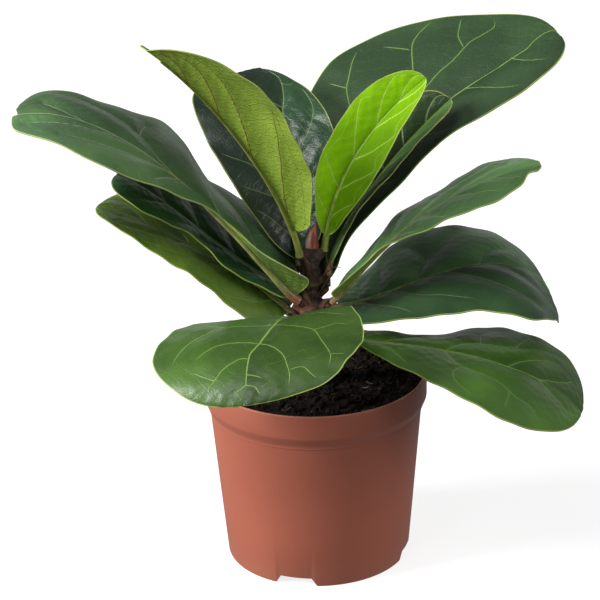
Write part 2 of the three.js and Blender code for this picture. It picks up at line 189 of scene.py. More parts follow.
def compute(operation, a, b=0.0, clamp=False):
    return node("ShaderNodeMath", {0: a, 1: b}, operation=operation, use_clamp=clamp)[0]


def smooth(value, low, high, start=0.0, end=1.0):  # eases from start to end
    inputs = {"Value": value, "From Min": low, "From Max": high, "To Min": start, "To Max": end}
    return node("ShaderNodeMapRange", inputs, interpolation_type="SMOOTHSTEP")[0]


def mix(share, a, b, blend="MIX"):
    a, b = [color if isinstance(color, Value) else (*color, 1) for color in (a, b)]
    return node("ShaderNodeMix", {0: share, 6: a, 7: b}, data_type="RGBA", blend_type=blend)[2]


def objectPlace():
    return node("ShaderNodeTexCoord", {})[3]


def split(vector):
    return node("ShaderNodeSeparateXYZ", {"Vector": vector})


def attribute(name):  # colour, vector, number
    return node("ShaderNodeAttribute", {}, attribute_name=name)


def clouds(where, scale, detail, roughness=0.5):
    inputs = {"Vector": where, "Scale": scale, "Detail": detail, "Roughness": roughness}
    return node("ShaderNodeTexNoise", inputs)[0]


def patches(where, scale, detail, low, high, start=0.0, end=1.0):
    return smooth(clouds(where, scale, detail), low, high, start, end)


def cells(where, scale, feature):
    inputs = {"Vector": where, "Scale": scale, "Randomness": 0.9}
    return node("ShaderNodeTexVoronoi", inputs, feature=feature)[0]


def stretch(where, scale):
    return node("ShaderNodeMapping", {"Vector": where, "Scale": scale})[0]


def shade(bump=None, **values):  # sets the surface shader; bump = height and its depth in millimetres
    if bump:
        inputs = {"Height": bump[0], "Distance": bump[1] * mm, "Strength": 1.0}
        values["Normal"] = node("ShaderNodeBump", inputs)[0]
    for key, value in values.items():
        feed(current["tree"].nodes["Principled BSDF"].inputs[key.replace("_", " ")], value)
    return current["material"]


def tint(color, share):
    return tuple(min(1, share * part) for part in color)


# leaves

blade = {
    "thickness": 0.6,
    "rows": 170,
    "columns": 48,
    "crowding": 0.14,        # how much closer the rows lie at both ends
    "ends": (0.0005, 0.9999),
    "step": 0.003,           # step for slopes, as a share
    "baseEnd": 0.1,          # share of the blade that the rounded base takes
    "tipStart": 0.6,
    "notchStart": 0.85,      # where a notched tip begins
    "notchWidth": 0.22,
    "curl": 0.1,             # downward turn of the margins
    "phaseRight": 0.37,      # the right side's ripples lag the left's
    "pucker": 1.0,           # height of the swelling between two veins
    "puckerSpan": 18,        # vein spacing that gives the full height
    "puckerReach": 5,        # how far from a drawn vein the swelling rises
    "midribGroove": 0.9,
    "lumps": 0.18,
    "frill": 0.35,           # short ripples along the margin
    "frillCount": 7,
    "ribReach": 0.93,        # how far the rib runs under the blade
    "ribSteps": 60,
    "petioleRadius": 2.1,
    "petioleFlare": 0.12,    # how much thicker the petiole is at the stem
    "ribEndRadius": 0.45,
    "ribSink": 0.5,
    "evenRows": [(0.15, 0.35, 1.2), (0.35, 0.60, 1.2), (0.55, 0.85, 1.2), (0.75, 1.10, 1)],
}

# Shape: as the solid model's leaves, but for bite, tipNotch, petioleRadius and the tip of
# leafLeftTop. path = petiole and midrib at 0, 1/3, 2/3 and 1; left, right = half-widths at
# 10, 30, 50, 70 and 90 %; wave = height, count and phase; round = how blunt the tip is on
# each side; veinsLeft, veinsRight = (start on the midrib, end at the margin, bend) of each
# vein, or lines = its course as points of (per cent of the length, per cent of the
# half-width, left positive); spine = how far the midrib wanders, as a share of the
# half-width. Colours are linear; gloss is for the left and the right half, and sides is
# painted light and shade: a factor on the colour of the left and of the right half.
leaves = {
    "leafFrontRightLow": {
        "node": "leaf_01_front_right_low", "slot": "leaf_green",
        "path": [(7, -3, 129), (45, -18, 127), (92, -32, 122), (138, -44, 96)], "petiole": 12,
        "left": [12, 17, 45, 47, 49], "right": [10, 29, 48, 54, 46],
        "liftLeft": [6, 3, 5], "liftRight": [5, 5, 5], "wave": (1.5, 1.5, 0.1), "baseEnd": 0.05,
        "dark": (0.033, 0.08, 0.012), "light": (0.062, 0.15, 0.019),
        "vein": (0.125, 0.23, 0.05), "petioleColor": (0.16, 0.22, 0.05),
        "sides": (0.85, 1.25), "petioleBase": (0.2, 0.13, 0.05),
        "spine": [0, 0, 0, 0, 0, 0, 0, 0.02, 0.06, 0.1, 0.1], "midribEnd": 0.83,
        "lines": [
            [(14, 0), (19, 36), (27, 80)], [(12, 0), (20, -40), (30, -82)],
            [(40, 0), (43, 19), (47.5, 33), (56.5, 40), (66.5, 52), (75.5, 69), (80.5, 77), (88, 90)],
            [(52, 37), (50.5, 62), (53, 86)], [(65.5, 52), (67, 72), (70, 93)],
            [(65.5, 1), (70, 25), (77, 48), (82, 62)], [(79, 5), (84, 18), (89, 36), (92, 60)],
            [(40, 0), (44, -22), (50, -34.5), (57, -37), (63, -39), (68, -45), (73, -54), (79, -59),
            (83, -70)], [(49.5, -33), (47.5, -56), (50, -74), (57.5, -88)], [(70, -49), (70.5, -78)],
            [(79, 4), (87, -12), (94, -30)],
        ],
    },
    "leafLeftLow": {
        "node": "leaf_02_left_low", "slot": "leaf_light",
        "path": [(-10, 2, 137), (-41, 8, 160), (-81, 14, 183), (-114, 20, 194)], "petiole": 4,
        "left": [20, 24, 28, 23, 22], "right": [24, 38, 42, 42, 40],
        "liftLeft": [-30, 0, 5], "liftRight": [10, 8, 5], "wave": (1.5, 2, 0.4), "baseEnd": 0.05,
        "veinsLeft": [(0.09, 0.39, 2), (0.3, 0.81, 1.1), (0.53, 0.98, 1.1), (0.76, 1.14, 1)],
        "veinsRight": [(0.11, 0.39, 2), (0.32, 0.72, 1.2), (0.55, 0.95, 1.1), (0.77, 1.14, 1)],
        "petioleRadius": 3.0, "dark": (0.06, 0.118, 0.016), "light": (0.112, 0.19, 0.024),
        "vein": (0.16, 0.27, 0.06), "petioleColor": (0.2, 0.26, 0.06),
        "petioleBase": (0.18, 0.17, 0.04),
    },
    "leafFront": {
        "node": "leaf_03_front", "slot": "leaf_green",
        "path": [(-3, -8, 138), (-22, -42, 151), (-34, -80, 150), (-37, -105, 134)], "petiole": 8,
        "left": [37, 50, 55, 50, 45], "right": [20, 43, 50, 51, 40],
        "liftLeft": [23, 8, -5], "liftRight": [-4, -3, 0], "wave": (1.2, 1.5, 0.2), "round": (2.4, 2.4),
        "gloss": (0.38, 0.34), "shine": 0.45, "pucker": 0.8,
        "dark": (0.026, 0.062, 0.01), "light": (0.05, 0.106, 0.017),
        "vein": (0.145, 0.255, 0.055), "petioleColor": (0.25, 0.36, 0.06), "sides": (0.75, 1.15),
        "spine": [0, 0, 0.02, 0.04, 0.06, 0.07, 0.06, 0.015, 0.03, 0.05, 0.05], "midribEnd": 0.91,
        "lines": [
            [(10, 0), (16, 30), (20, 62), (24, 86)], [(14, 0), (18, -30), (24, -60), (30, -86)],
            [(36, 5), (39, -13), (42, -45), (54.5, -62), (66, -72), (75, -80)],
            [(42, -45), (40, -63), (37, -84)], [(60, 5), (59.5, -12), (62, -34), (67.5, -45.5), (73, -54)],
            [(73, 1), (74, -9), (80, -24), (86.5, -38), (89, -48), (91.5, -55)],
            [(86.5, -38), (84, -50), (81, -61)],
            [(36, 5), (40, 33), (43.5, 50), (54, 63), (65, 80), (75, 87)],
            [(43.5, 50), (40, 58), (34.5, 71), (34, 86)], [(65, 80), (63, 92)],
            [(60, 6), (62.5, 20), (69, 35), (76, 43.5), (83, 52), (90.5, 61.5)],
            [(80, 48), (77, 61), (81, 72.5), (84.5, 85)], [(84, 4), (84.5, 13), (86, 23)],
            [(90, 5), (91, 17), (95, 30)], [(90, 5), (93.5, -10)],
        ],
    },
    "leafRightLow": {
        "node": "leaf_04_right_low", "slot": "leaf_dark",
        "path": [(6, 4, 141), (48, 14, 147), (96, 24, 155), (131, 33, 124)], "petiole": 8,
        "left": [24, 46, 49, 43, 34], "right": [26, 37, 43, 57, 42],
        "liftLeft": [6, 10, 17], "liftRight": [-2, -3, -5], "wave": (1.5, 1.5, 0.6),
        "round": (2.5, 2.5), "baseEnd": 0.04, "pucker": 1.8,
        "dark": (0.021, 0.052, 0.02), "light": (0.036, 0.088, 0.028),
        "vein": (0.085, 0.15, 0.045), "petioleColor": (0.16, 0.22, 0.05),
        "sides": (1.65, 0.87), "petioleBase": (0.18, 0.15, 0.05),
        "lines": [
            [(8, 0), (10, 40), (13, 75)], [(16.5, 0), (18.5, 30), (22, 62), (25, 85)],
            [(32.5, 0), (36, 21), (40, 33), (45, 46), (49, 56.5), (52.5, 71), (56, 86)],
            [(39.5, 33), (38.5, 56), (35.5, 80)],
            [(58.5, 0), (61.5, 17), (65, 30), (71.5, 43), (78, 66), (82, 82)],
            [(80, 0), (85, 25), (90, 50)], [(8, 0), (13, -30), (20, -60), (24, -82)],
            [(22, 0), (25, -16), (31, -41), (37.5, -53), (43, -65), (50, -78)],
            [(44, 0), (51, -20), (60, -42), (70, -62), (76, -78)],
            [(64, 0), (72, -15), (80, -36), (86, -60)],
        ],
    },
    "leafRightMiddle": {
        "node": "leaf_05_right_middle", "slot": "leaf_green",
        "path": [(9, -4, 146), (31, -4, 171), (67, 0, 199), (120, 6, 217)], "petiole": 4,
        "left": [8, 16, 34, 30, 34], "right": [10, 4, 21, 27, 20],
        "roll": [0, -10, -8], "liftLeft": [20, 5, 8], "liftRight": [50, 0, -8, -8], "wave": (1.2, 2.5, 0.3),
        "baseEnd": 0.04, "bite": (0.945, 0.03, 0.45), "pucker": 1.6,
        "dark": (0.046, 0.104, 0.034), "light": (0.074, 0.16, 0.05),
        "vein": (0.14, 0.25, 0.075), "petioleColor": (0.24, 0.3, 0.06), "under": (0.16, 0.26, 0.05),
        "sides": (1.8, 1.05), "petioleBase": (0.34, 0.2, 0.09),
        "lines": [
            [(12, 0), (20, 40), (26, 80)], [(28, 0), (34, 36), (40, 72)],
            [(42, 0), (48, 26), (58, 48), (70, 62), (78, 74)], [(60, 0), (68, 20), (78, 40), (88, 55)],
            [(14, 0), (21, -40), (28, -80)], [(32, 0), (37, -36), (43, -74)],
            [(47, 0), (50, -22), (53.5, -58), (57, -84)],
            [(62, 0), (65, -12), (71, -34), (77, -52), (80, -72)], [(80, 0), (86, -30), (91, -60)],
        ],
    },
    "leafLeftMiddle": {
        "node": "leaf_06_left_middle", "slot": "leaf_green",
        "path": [(-8, -5.5, 148), (-50, -14, 202), (-98, -16, 245), (-151, -8, 255)], "petiole": 4,
        "left": [16, 2, 20, 42, 30], "right": [38, 52, 63, 40, 37],
        "roll": [10, 2, -4], "liftLeft": [60, 5, 0, 0], "liftRight": [38, 7, 9, 5], "wave": (1.5, 2, 0.7),
        "round": (2.4, 8), "baseEnd": 0.05, "tipNotch": 0.008, "pucker": 2.2, "petioleRadius": 2.8,
        "dark": (0.04, 0.086, 0.034), "light": (0.062, 0.13, 0.043),
        "vein": (0.25, 0.33, 0.21), "petioleColor": (0.29, 0.31, 0.09), "under": (0.13, 0.21, 0.04),
        "sides": (1.25, 1), "petioleBase": (0.22, 0.085, 0.04),
        "lines": [
            [(12, 0), (20, 40), (30, 78)], [(49, 0), (53, 40), (57, 76)],
            [(50, 0), (55, 12), (60, 25), (66, 34), (70, 39), (76, 50), (84, 66)],
            [(70, 0), (76, 12), (83, 22), (90, 36), (95, 52)], [(16, 0), (21, -30), (28, -60), (35, -88)],
            [(32, 0), (36, -30), (42, -60), (48, -88)],
            [(50.5, 0), (57, -10), (62, -28), (70, -51), (80, -69), (90, -83)],
            [(64, -33), (64, -50), (63, -68)], [(80, 0), (87, -18), (94, -40)],
        ],
    },
    "leafLeftBack": {
        "node": "leaf_07_left_back", "slot": "leaf_dark",
        "path": [(-7, 5, 149), (-41, 8, 169), (-75, 12, 197), (-103, 18, 212)], "petiole": 4,
        "left": [14, 15, 13, 20, 28], "right": [22, 34, 42, 42, 40],
        "liftLeft": [0, 0, 5], "liftRight": [10, 8, 5], "wave": (1.2, 2, 0.1), "baseEnd": 0.05,
        "veinsLeft": [(0.15, 0.34, 1.2), (0.34, 0.53, 1.2), (0.53, 0.7, 1.2), (0.72, 0.91, 1)],
        "veinsRight": [(0.13, 0.32, 1.3), (0.32, 0.56, 1.2), (0.53, 0.81, 1.1), (0.73, 1.05, 1)],
        "sides": (1.5, 1.05), "dark": (0.009, 0.04, 0.012), "light": (0.016, 0.066, 0.02),
        "vein": (0.055, 0.095, 0.035), "petioleColor": (0.16, 0.2, 0.05), "shine": 0.18,
    },
    "leafRightTop": {
        "node": "leaf_08_right_top", "slot": "leaf_dark",
        "path": [(7, 7, 151), (26, 34, 198), (78, 64, 236), (138, 88, 262)], "petiole": 3,
        "left": [20, 50, 72, 65, 41], "right": [14, 27, 30, 40, 35],
        "roll": [20, 20, 20], "liftLeft": [0, 5, 0], "liftRight": [20, 30, 25], "wave": (2, 1.5, 0.8),
        "round": (4, 2), "baseEnd": 0.05, "pucker": 1.3,
        "dark": (0.022, 0.047, 0.02), "light": (0.035, 0.075, 0.028),
        "vein": (0.15, 0.27, 0.06), "petioleColor": (0.16, 0.2, 0.05),
        "sides": (1, 0.85), "rungs": 0.08, "spine": [0, 0, 0, 0, 0, 0, 0, 0, 0, 0.05, 0.35],
        "lines": [
            [(15, 0), (20, 36), (26, 80)],
            [(34, 0), (40, 36), (45, 60), (47.5, 70), (50, 75.5), (54, 86), (57, 93)],
            [(47.5, 70), (46, 86)],
            [(48, 0), (56, 22), (62, 42), (67.3, 69), (70.5, 80), (73.5, 88), (76.5, 96)],
            [(66.5, 66), (62, 84)],
            [(44, 0), (52, 12), (60, 21), (67, 29), (72, 33.5), (77.5, 44.5), (80, 50), (84.5, 58),
            (87.5, 68), (89, 86)], [(77, 44), (78.2, 62), (80.5, 78), (82.5, 93)],
            [(20, 0), (27, -40), (34, -82)], [(42, 0), (48, -40), (55, -82)],
            [(69, 0), (71, -15), (75, -58), (79, -82)], [(85, 2), (87.5, -30), (91, -62)],
        ],
    },
    "leafRightInner": {
        "node": "leaf_09_right_inner", "slot": "leaf_dark",
        "path": [(8, 1, 159), (18, 9, 185), (44, 24, 216), (75, 40, 243)], "petiole": 5,
        "left": [5, 11, 18, 25, 20], "right": [8, 8, 13, 12, 15],
        "roll": [20, 20, 20], "liftLeft": [25, 25, 30], "liftRight": [45, 42, 35], "wave": (0.8, 2, 0.2),
        "veinsLeft": [(0.24, 0.37, 1.2), (0.39, 0.56, 1.2), (0.53, 0.73, 1.2), (0.68, 0.9, 1.1),
                      (0.83, 1.08, 1)],
        "veinsRight": [(0.24, 0.37, 1.2), (0.39, 0.56, 1.2), (0.53, 0.73, 1.2), (0.68, 0.9, 1.1),
                       (0.83, 1.08, 1)],
        "dark": (0.018, 0.046, 0.012), "light": (0.038, 0.088, 0.022),
        "vein": (0.15, 0.2, 0.055), "petioleColor": (0.12, 0.17, 0.045),
        "sides": (0.55, 2.2), "petioleBase": (0.33, 0.2, 0.1),
    },
    "leafBack": {
        "node": "leaf_10_back", "slot": "leaf_dark",
        "path": [(-7, 4, 164), (-10, 22, 198), (-14, 55, 231), (-26, 88, 247)], "petiole": 4,
        "left": [15, 31, 42, 48, 52], "right": [14, 22, 27, 21, 11],
        "liftLeft": [15, 8, 10], "liftRight": [25, 22, 8], "wave": (1.5, 2, 0.5), "pucker": 1.3,
        "dark": (0.01, 0.034, 0.015), "light": (0.02, 0.06, 0.024),
        "vein": (0.11, 0.17, 0.055), "petioleColor": (0.16, 0.22, 0.05),
        "sides": (0.42, 0.95), "gloss": (0.28, 0.19), "shine": 0.8,
        "spine": [0, 0, 0, 0, 0, 0, 0, 0, -0.2, -0.46, -0.4], "midribEnd": 0.97,
        "lines": [
            [(8, 0), (12, 30), (18, 62), (22, 88)], [(20, 0), (26, 25), (28, 45), (29.5, 62), (32, 90)],
            [(30, 0), (38, 35), (40, 47), (43, 62), (45.5, 80), (48, 94)],
            [(50, 0), (58, 30), (62, 48), (66, 64), (72, 78), (77, 90)],
            [(72, 0), (80, 25), (86, 50), (90, 75)], [(10, 0), (16, -40), (22, -80)],
            [(26, 0), (33, -40), (40, -80)],
            [(48, 0), (53.5, -33), (58.5, -50), (65, -69), (70, -78), (75.5, -82), (80, -84)],
            [(63, -66), (61, -80), (58, -93)], [(85, -34), (83.5, -58), (84, -80)],
        ],
    },
    "leafYoung": {
        "node": "leaf_11_young", "slot": "leaf_lime",
        "path": [(6, 2, 173), (14, 6, 205), (32, 14, 234), (61, 24, 260)], "petiole": 9,
        "left": [8, 16, 18, 19, 16], "right": [11, 20, 21, 16, 11],
        "roll": [45, 45, 45], "liftLeft": [35, 35, 30], "liftRight": [35, 35, 30], "wave": (0.5, 2, 0.3),
        "pucker": 0.5,
        "veinsLeft": [(0.08, 0.22, 1), (0.25, 0.41, 1), (0.43, 0.72, 1), (0.64, 0.93, 1), (0.82, 1.1, 1)],
        "veinsRight": [(0.08, 0.24, 1), (0.25, 0.46, 1.2), (0.43, 0.7, 1.4), (0.62, 0.95, 1), (0.8, 1.1, 1)],
        "petioleBase": (0.24, 0.3, 0.05), "dark": (0.142, 0.335, 0.002), "light": (0.22, 0.47, 0.003),
        "vein": (0.38, 0.58, 0.1), "petioleColor": (0.4, 0.56, 0.09),
        "sides": (1.28, 0.8), "gloss": (0.55, 0.55), "shine": 0.05, "rungs": 0.08,
    },
    "leafLeftTop": {
        "node": "leaf_12_left_top", "slot": "leaf_olive",
        "path": [(-7, -7, 174), (-18, -20, 213), (-44, -44, 263), (-78, -71, 307)], "petiole": 17,
        "left": [18, 31, 38, 37, 35], "right": [22, 36, 35, 33, 36],
        "liftLeft": [15, 22, 30], "liftRight": [35, 28, 15], "wave": (1.2, 2.5, 0.6),
        "round": (1.3, 1.2), "baseEnd": 0.07,
        "veinsLeft": [(0.04, 0.69, 1), (0.38, 1.1, 1), (0.6, 1.21, 1), (0.79, 1.31, 1)],
        "veinsRight": [(0.04, 0.6, 1), (0.33, 1.00, 1), (0.58, 1.16, 1), (0.79, 1.31, 1)],
        "petioleBase": (0.22, 0.24, 0.05), "dark": (0.03, 0.09, 0.018), "light": (0.06, 0.15, 0.03),
        "vein": (0.16, 0.3, 0.06), "petioleColor": (0.3, 0.35, 0.06),
        "under": (0.28, 0.41, 0.045), "underVein": (0.3, 0.25, 0.05), "lean": 80,
    },
}


def midribAt(path, share):  # the cubic through four points
    s = 3 * np.asarray(share, float)[:, None]
    weights = (
        -(s - 1) * (s - 2) * (s - 3) / 6,
        s * (s - 2) * (s - 3) / 2,
        -s * (s - 1) * (s - 3) / 2,
        s * (s - 1) * (s - 2) / 6,
    )
    return sum(weight * np.array(point, float) for weight, point in zip(weights, path))


class Midrib:  # the same cubic, read by length
    def __init__(self, path):
        self.path = path
        self.share = np.linspace(0, 1, 401)
        points = midribAt(path, self.share)
        steps = np.linalg.norm(np.diff(points, axis=0), axis=1)
        self.run = np.concatenate([[0], np.cumsum(steps)])
        self.length = self.run[-1]
        chord = points[-1] - points[0]
        self.sideways = np.array([-chord[1], chord[0], 0]) / math.hypot(chord[0], chord[1])

    def at(self, u):
        return midribAt(self.path, np.interp(u * self.length, self.run, self.share))

    def axes(self, u, roll):  # along, left, up
        s = np.interp(u * self.length, self.run, self.share)
        along = midribAt(self.path, s + 1e-3) - midribAt(self.path, s - 1e-3)
        along /= np.linalg.norm(along, axis=1)[:, None]
        up = np.cross(along, self.sideways)
        up /= np.linalg.norm(up, axis=1)[:, None]
        left = np.cross(up, along)
        turn = np.radians(roll)[:, None]
        return along, left * np.cos(turn) + up * np.sin(turn), up * np.cos(turn) - left * np.sin(turn)


def evenly(values, t):
    return np.interp(t, np.linspace(0, 1, len(values)), values)


def smoothly(values, x):  # a smooth curve through even values that runs on past both ends
    last = len(values) - 1
    v = np.array([2 * values[0] - values[1], *values, 2 * values[last] - values[last - 1]], float)
    i = np.clip(np.floor(x).astype(int), 0, last - 1)
    f = x - i
    p0, p1, p2, p3 = v[i], v[i + 1], v[i + 2], v[i + 3]
    square = 2 * p0 - 5 * p1 + 4 * p2 - p3
    cube = 3 * p1 - p0 - 3 * p2 + p3
    return 0.5 * (2 * p1 + (p2 - p0) * f + square * f * f + cube * f**3)


def halfWidth(leaf, t, isLeft):
    blunt = leaf.get("round", (2, 2))
    power = np.where(isLeft, 1 / blunt[0], 1 / blunt[1])
    intoBase = 1 - np.minimum(t / leaf.get("baseEnd", blade["baseEnd"]), 1)
    intoTip = np.maximum((t - blade["tipStart"]) / (1 - blade["tipStart"]), 0)
    ends = np.sqrt(1 - intoBase**2) * (1 - np.minimum(intoTip, 1) ** 4) ** power
    station = (t - 0.1) / 0.2
    width = np.where(isLeft, smoothly(leaf["left"], station), smoothly(leaf["right"], station))
    if "bite" in leaf:  # a dent in the right margin
        centre, span, depth = leaf["bite"]
        width = width * np.where(isLeft, 1, 1 - depth * np.exp(-(((t - centre) / span) ** 2)))
    return width * ends


def veinPlace(leaf, t, across, isLeft, length):  # whole numbers on the lateral veins
    found = np.zeros_like(t)
    for side, key in ((True, "veinsLeft"), (False, "veinsRight")):
        veins = leaf.get(key, blade["evenRows"])
        rows = [start + (end - start) * across**bend for start, end, bend in veins]
        gap = rows[1] - rows[0]
        place = np.clip((t - rows[0]) / gap, -0.45, 0)
        for i, (low, high) in enumerate(zip(rows, rows[1:])):
            place = np.where(t >= low, i + (t - low) / np.maximum(high - low, 0.02), place)
        last = len(rows) - 1
        place = np.where(t >= rows[-1], last + np.clip((t - rows[-1]) / gap, 0, 0.45), place)
        found = np.where(isLeft == side, place, found)
    wobble = 0.02 * np.sin(t * length * 0.15 + across * 4) * np.sin(across * 7 + t * 7)
    return found + wobble * np.minimum(across * 4, 1)


def veinRuns(leaf, length):  # the drawn veins as short runs: two ends, two weights, first, last
    runs = []
    for points in leaf["lines"]:
        t, v = np.array(points, float).T / 100
        share = np.linspace(0, 1, 6 * (len(points) - 1) + 1)
        at = share * (len(points) - 1)
        x = smoothly(v * halfWidth(leaf, t, v > 0), at)
        y = smoothly(t * length, at)
        weight = (1 - 0.5 * share) * np.minimum((1 - share) * 6, 1) * (1 if abs(v[0]) < 0.1 else 0.6)
        first, last = np.zeros(len(x) - 1), np.zeros(len(x) - 1)
        first[0], last[-1] = 1, 1
        runs.append(np.stack([x[:-1], y[:-1], x[1:], y[1:], weight[:-1], weight[1:], first, last], axis=1))
    return np.concatenate(runs)


def nearestRun(runs, spots):  # which run is nearest, how far it is, and the share along it
    start, step = runs[:, :2], runs[:, 2:4] - runs[:, :2]
    reach = ((spots[:, None] - start) * step).sum(axis=2) / np.maximum((step**2).sum(axis=1), 1e-6)
    foot = start + step * np.clip(reach, 0, 1)[:, :, None]
    away = np.linalg.norm(spots[:, None] - foot, axis=2)
    best = away.argmin(axis=1)
    row = np.arange(len(spots))
    return best, away[row, best], reach[row, best]


def surface(leaf, rib, t, v, isLeft):  # the blade's middle surface without its relief
    start = leaf["petiole"] / rib.length
    t = np.clip(t, *blade["ends"])
    intoNotch = np.clip((t - blade["notchStart"]) / (1 - blade["notchStart"]), 0, 1)
    notch = leaf.get("tipNotch", 0) * np.exp(-((v / blade["notchWidth"]) ** 2)) * intoNotch
    u = start + (1 - start) * (t - notch)
    left, up = rib.axes(u, evenly(leaf.get("roll", (0, 0)), t))[1:]
    width = halfWidth(leaf, t, isLeft)
    lift = np.radians(np.where(isLeft, evenly(leaf["liftLeft"], t), evenly(leaf["liftRight"], t)))
    height, count, phase = leaf["wave"]
    phase = phase + np.where(isLeft, 0, blade["phaseRight"])
    swell = np.sqrt(np.sin(math.pi * t))
    ripple = height * v * v * np.sin(2 * math.pi * (count * t + phase)) * swell
    frill = blade["frill"] * v**4 * np.sin(2 * math.pi * (blade["frillCount"] * t + 2 * phase)) * swell
    rise = width * (np.abs(v) * np.sin(lift) - blade["curl"] * v * v) + ripple + frill
    return rib.at(u) + left * (v * width * np.cos(lift))[:, None] + up * rise[:, None]


def bladeData(leaf, rib, t, v, isLeft):  # what the relief and the material need to know
    length = rib.length - leaf["petiole"]
    across = np.abs(v)
    width = np.maximum(halfWidth(leaf, t, isLeft), 0.5)
    step = 0.004
    ahead = halfWidth(leaf, np.minimum(t + step, 1), isLeft)
    slope = (ahead - halfWidth(leaf, t - step, isLeft)) / (2 * step)
    place = veinPlace(leaf, t, across, isLeft, length)
    byT = (veinPlace(leaf, t + step, across, isLeft, length) - place) / step
    byV = (veinPlace(leaf, t, across + step, isLeft, length) - place) / step
    perX = byV / width
    perY = (byT - byV * across * slope / width) / length
    spacing = 1 / np.maximum(np.hypot(perX, perY), 1 / 60)
    edge = (1 - across) * width / np.sqrt(1 + (across * slope / length) ** 2)
    x = v * width - width * evenly(leaf.get("spine", (0, 0)), t)
    flat = np.stack([v * width, t * length], axis=1)
    return {"x": x, "y": t * length, "t": t, "flat": flat, "across": across, "width": width,
            "place": place, "spacing": spacing, "edge": edge}


def relief(leaf, data, length):  # swellings between the veins, a groove along the midrib
    if "lines" in leaf:
        away = nearestRun(veinRuns(leaf, length), data["flat"])[1]
        between = 0.6 - np.exp(-((away / blade["puckerReach"]) ** 1.3))
    else:
        size = np.minimum(data["spacing"] / blade["puckerSpan"], 1.2)
        between = (np.abs(np.sin(math.pi * data["place"])) ** 0.8 - 0.4) * size
    x, y, t = data["x"], data["y"], data["t"]
    fade = (1 - data["across"] ** 3) * np.minimum(np.abs(x) / 4, 1)
    swell = leaf.get("pucker", blade["pucker"]) * between * fade * np.minimum(t * 8, 1)
    groove = blade["midribGroove"] * np.exp(-((x / 1.8) ** 2)) * (1 - t)
    lumps = blade["lumps"] * np.sin(x * 0.9 + 1.3 * np.sin(y * 0.4)) * np.sin(y * 0.75)
    return swell - groove + lumps * fade


def setAttribute(mesh, name, *columns):  # up to three numbers at each corner of a face
    values = np.zeros((len(mesh.loops), 3), np.float32)
    values[:, :len(columns)] = np.stack(columns, axis=1)
    mesh.attributes.new(name, "FLOAT_VECTOR", "CORNER").data.foreach_set("vector", values.ravel())


def markLines(mesh, runs, spots):  # how far each corner is from the face's nearest vein, by side
    best, reach = nearestRun(runs, spots.reshape(-1, 4, 2).mean(axis=1))[::2]
    run, reach = np.repeat(runs[best], 4, axis=0), np.repeat(reach, 4)
    start, step = run[:, :2], run[:, 2:4] - run[:, :2]
    size = np.maximum(np.linalg.norm(step, axis=1), 1e-3)
    side = (step[:, 0] * (spots - start)[:, 1] - step[:, 1] * (spots - start)[:, 0]) / size
    share = np.clip(((spots - start) * step).sum(axis=1) / size**2, 0, 1)
    foot = np.linalg.norm(spots - start - step * share[:, None], axis=1)
    beyond = ((reach < 0) & (run[:, 6] > 0)) | ((reach > 1) & (run[:, 7] > 0))
    weight = run[:, 4] + (run[:, 5] - run[:, 4]) * share
    setAttribute(mesh, "lines", np.where(beyond, foot, side), weight)


def makeBlade(leaf, rib):
    piece = newPiece(bpy.ops.mesh.primitive_grid_add, size=2 * mm,
                     x_subdivisions=blade["columns"], y_subdivisions=blade["rows"])
    grid = readPoints(piece)
    v = -grid[:, 0]
    even = (grid[:, 1] + 1) / 2
    t = np.clip(even - blade["crowding"] * np.sin(2 * math.pi * even), *blade["ends"])
    isLeft = v > 0
    points = surface(leaf, rib, t, v, isLeft)
    step = blade["step"]
    inward = np.where(isLeft, -step, step)
    byT = surface(leaf, rib, t + step, v, isLeft) - surface(leaf, rib, t - step, v, isLeft)
    byV = (surface(leaf, rib, t, v + inward, isLeft) - points) * np.sign(inward)[:, None]
    normal = np.cross(byT, byV)
    normal /= np.maximum(np.linalg.norm(normal, axis=1), 1e-9)[:, None]
    length = rib.length - leaf["petiole"]
    height = relief(leaf, bladeData(leaf, rib, t, v, isLeft), length)
    writePoints(piece, points + normal * height[:, None])

    mesh = piece.data
    corner = np.empty(len(mesh.loops), int)
    mesh.loops.foreach_get("vertex_index", corner)
    sides = np.repeat(v[corner].reshape(-1, 4).mean(axis=1) > 0, 4)
    data = bladeData(leaf, rib, t[corner], v[corner], sides)
    setAttribute(mesh, "blade", data["x"], data["y"], data["t"])
    setAttribute(mesh, "veins", data["place"], data["spacing"], data["edge"])
    setAttribute(mesh, "span", data["across"], data["width"])
    if "lines" in leaf:
        markLines(mesh, veinRuns(leaf, length), data["flat"])
    return piece


def makeRib(leaf, rib):  # the petiole, which runs on under the blade
    start = leaf["petiole"] / rib.length
    reach = start + (1 - start) * blade["ribReach"]
    u = np.linspace(0, reach, blade["ribSteps"])
    share = u / reach
    thick = leaf.get("petioleRadius", blade["petioleRadius"])
    radius = thick + (blade["ribEndRadius"] - thick) * share**0.5
    radius *= 1 + blade["petioleFlare"] * np.exp(-((u * rib.length / 3) ** 2))
    up = rib.axes(u, evenly(leaf.get("roll", (0, 0)), share))[2]
    under = np.clip(u / start, 0, 1) * (radius * blade["ribSink"]) + np.clip((u - start) * 20, 0, 1) * 0.35
    line = rib.at(u) - up * under[:, None]
    rod = tube(line, radius)
    away = np.linalg.norm(readPoints(rod)[:, None] - line, axis=2)
    run = rod.data.attributes.new("run", "FLOAT", "POINT")  # millimetres from the stem
    run.data.foreach_set("value", (u[away.argmin(axis=1)] * rib.length).astype(np.float32))
    return rod


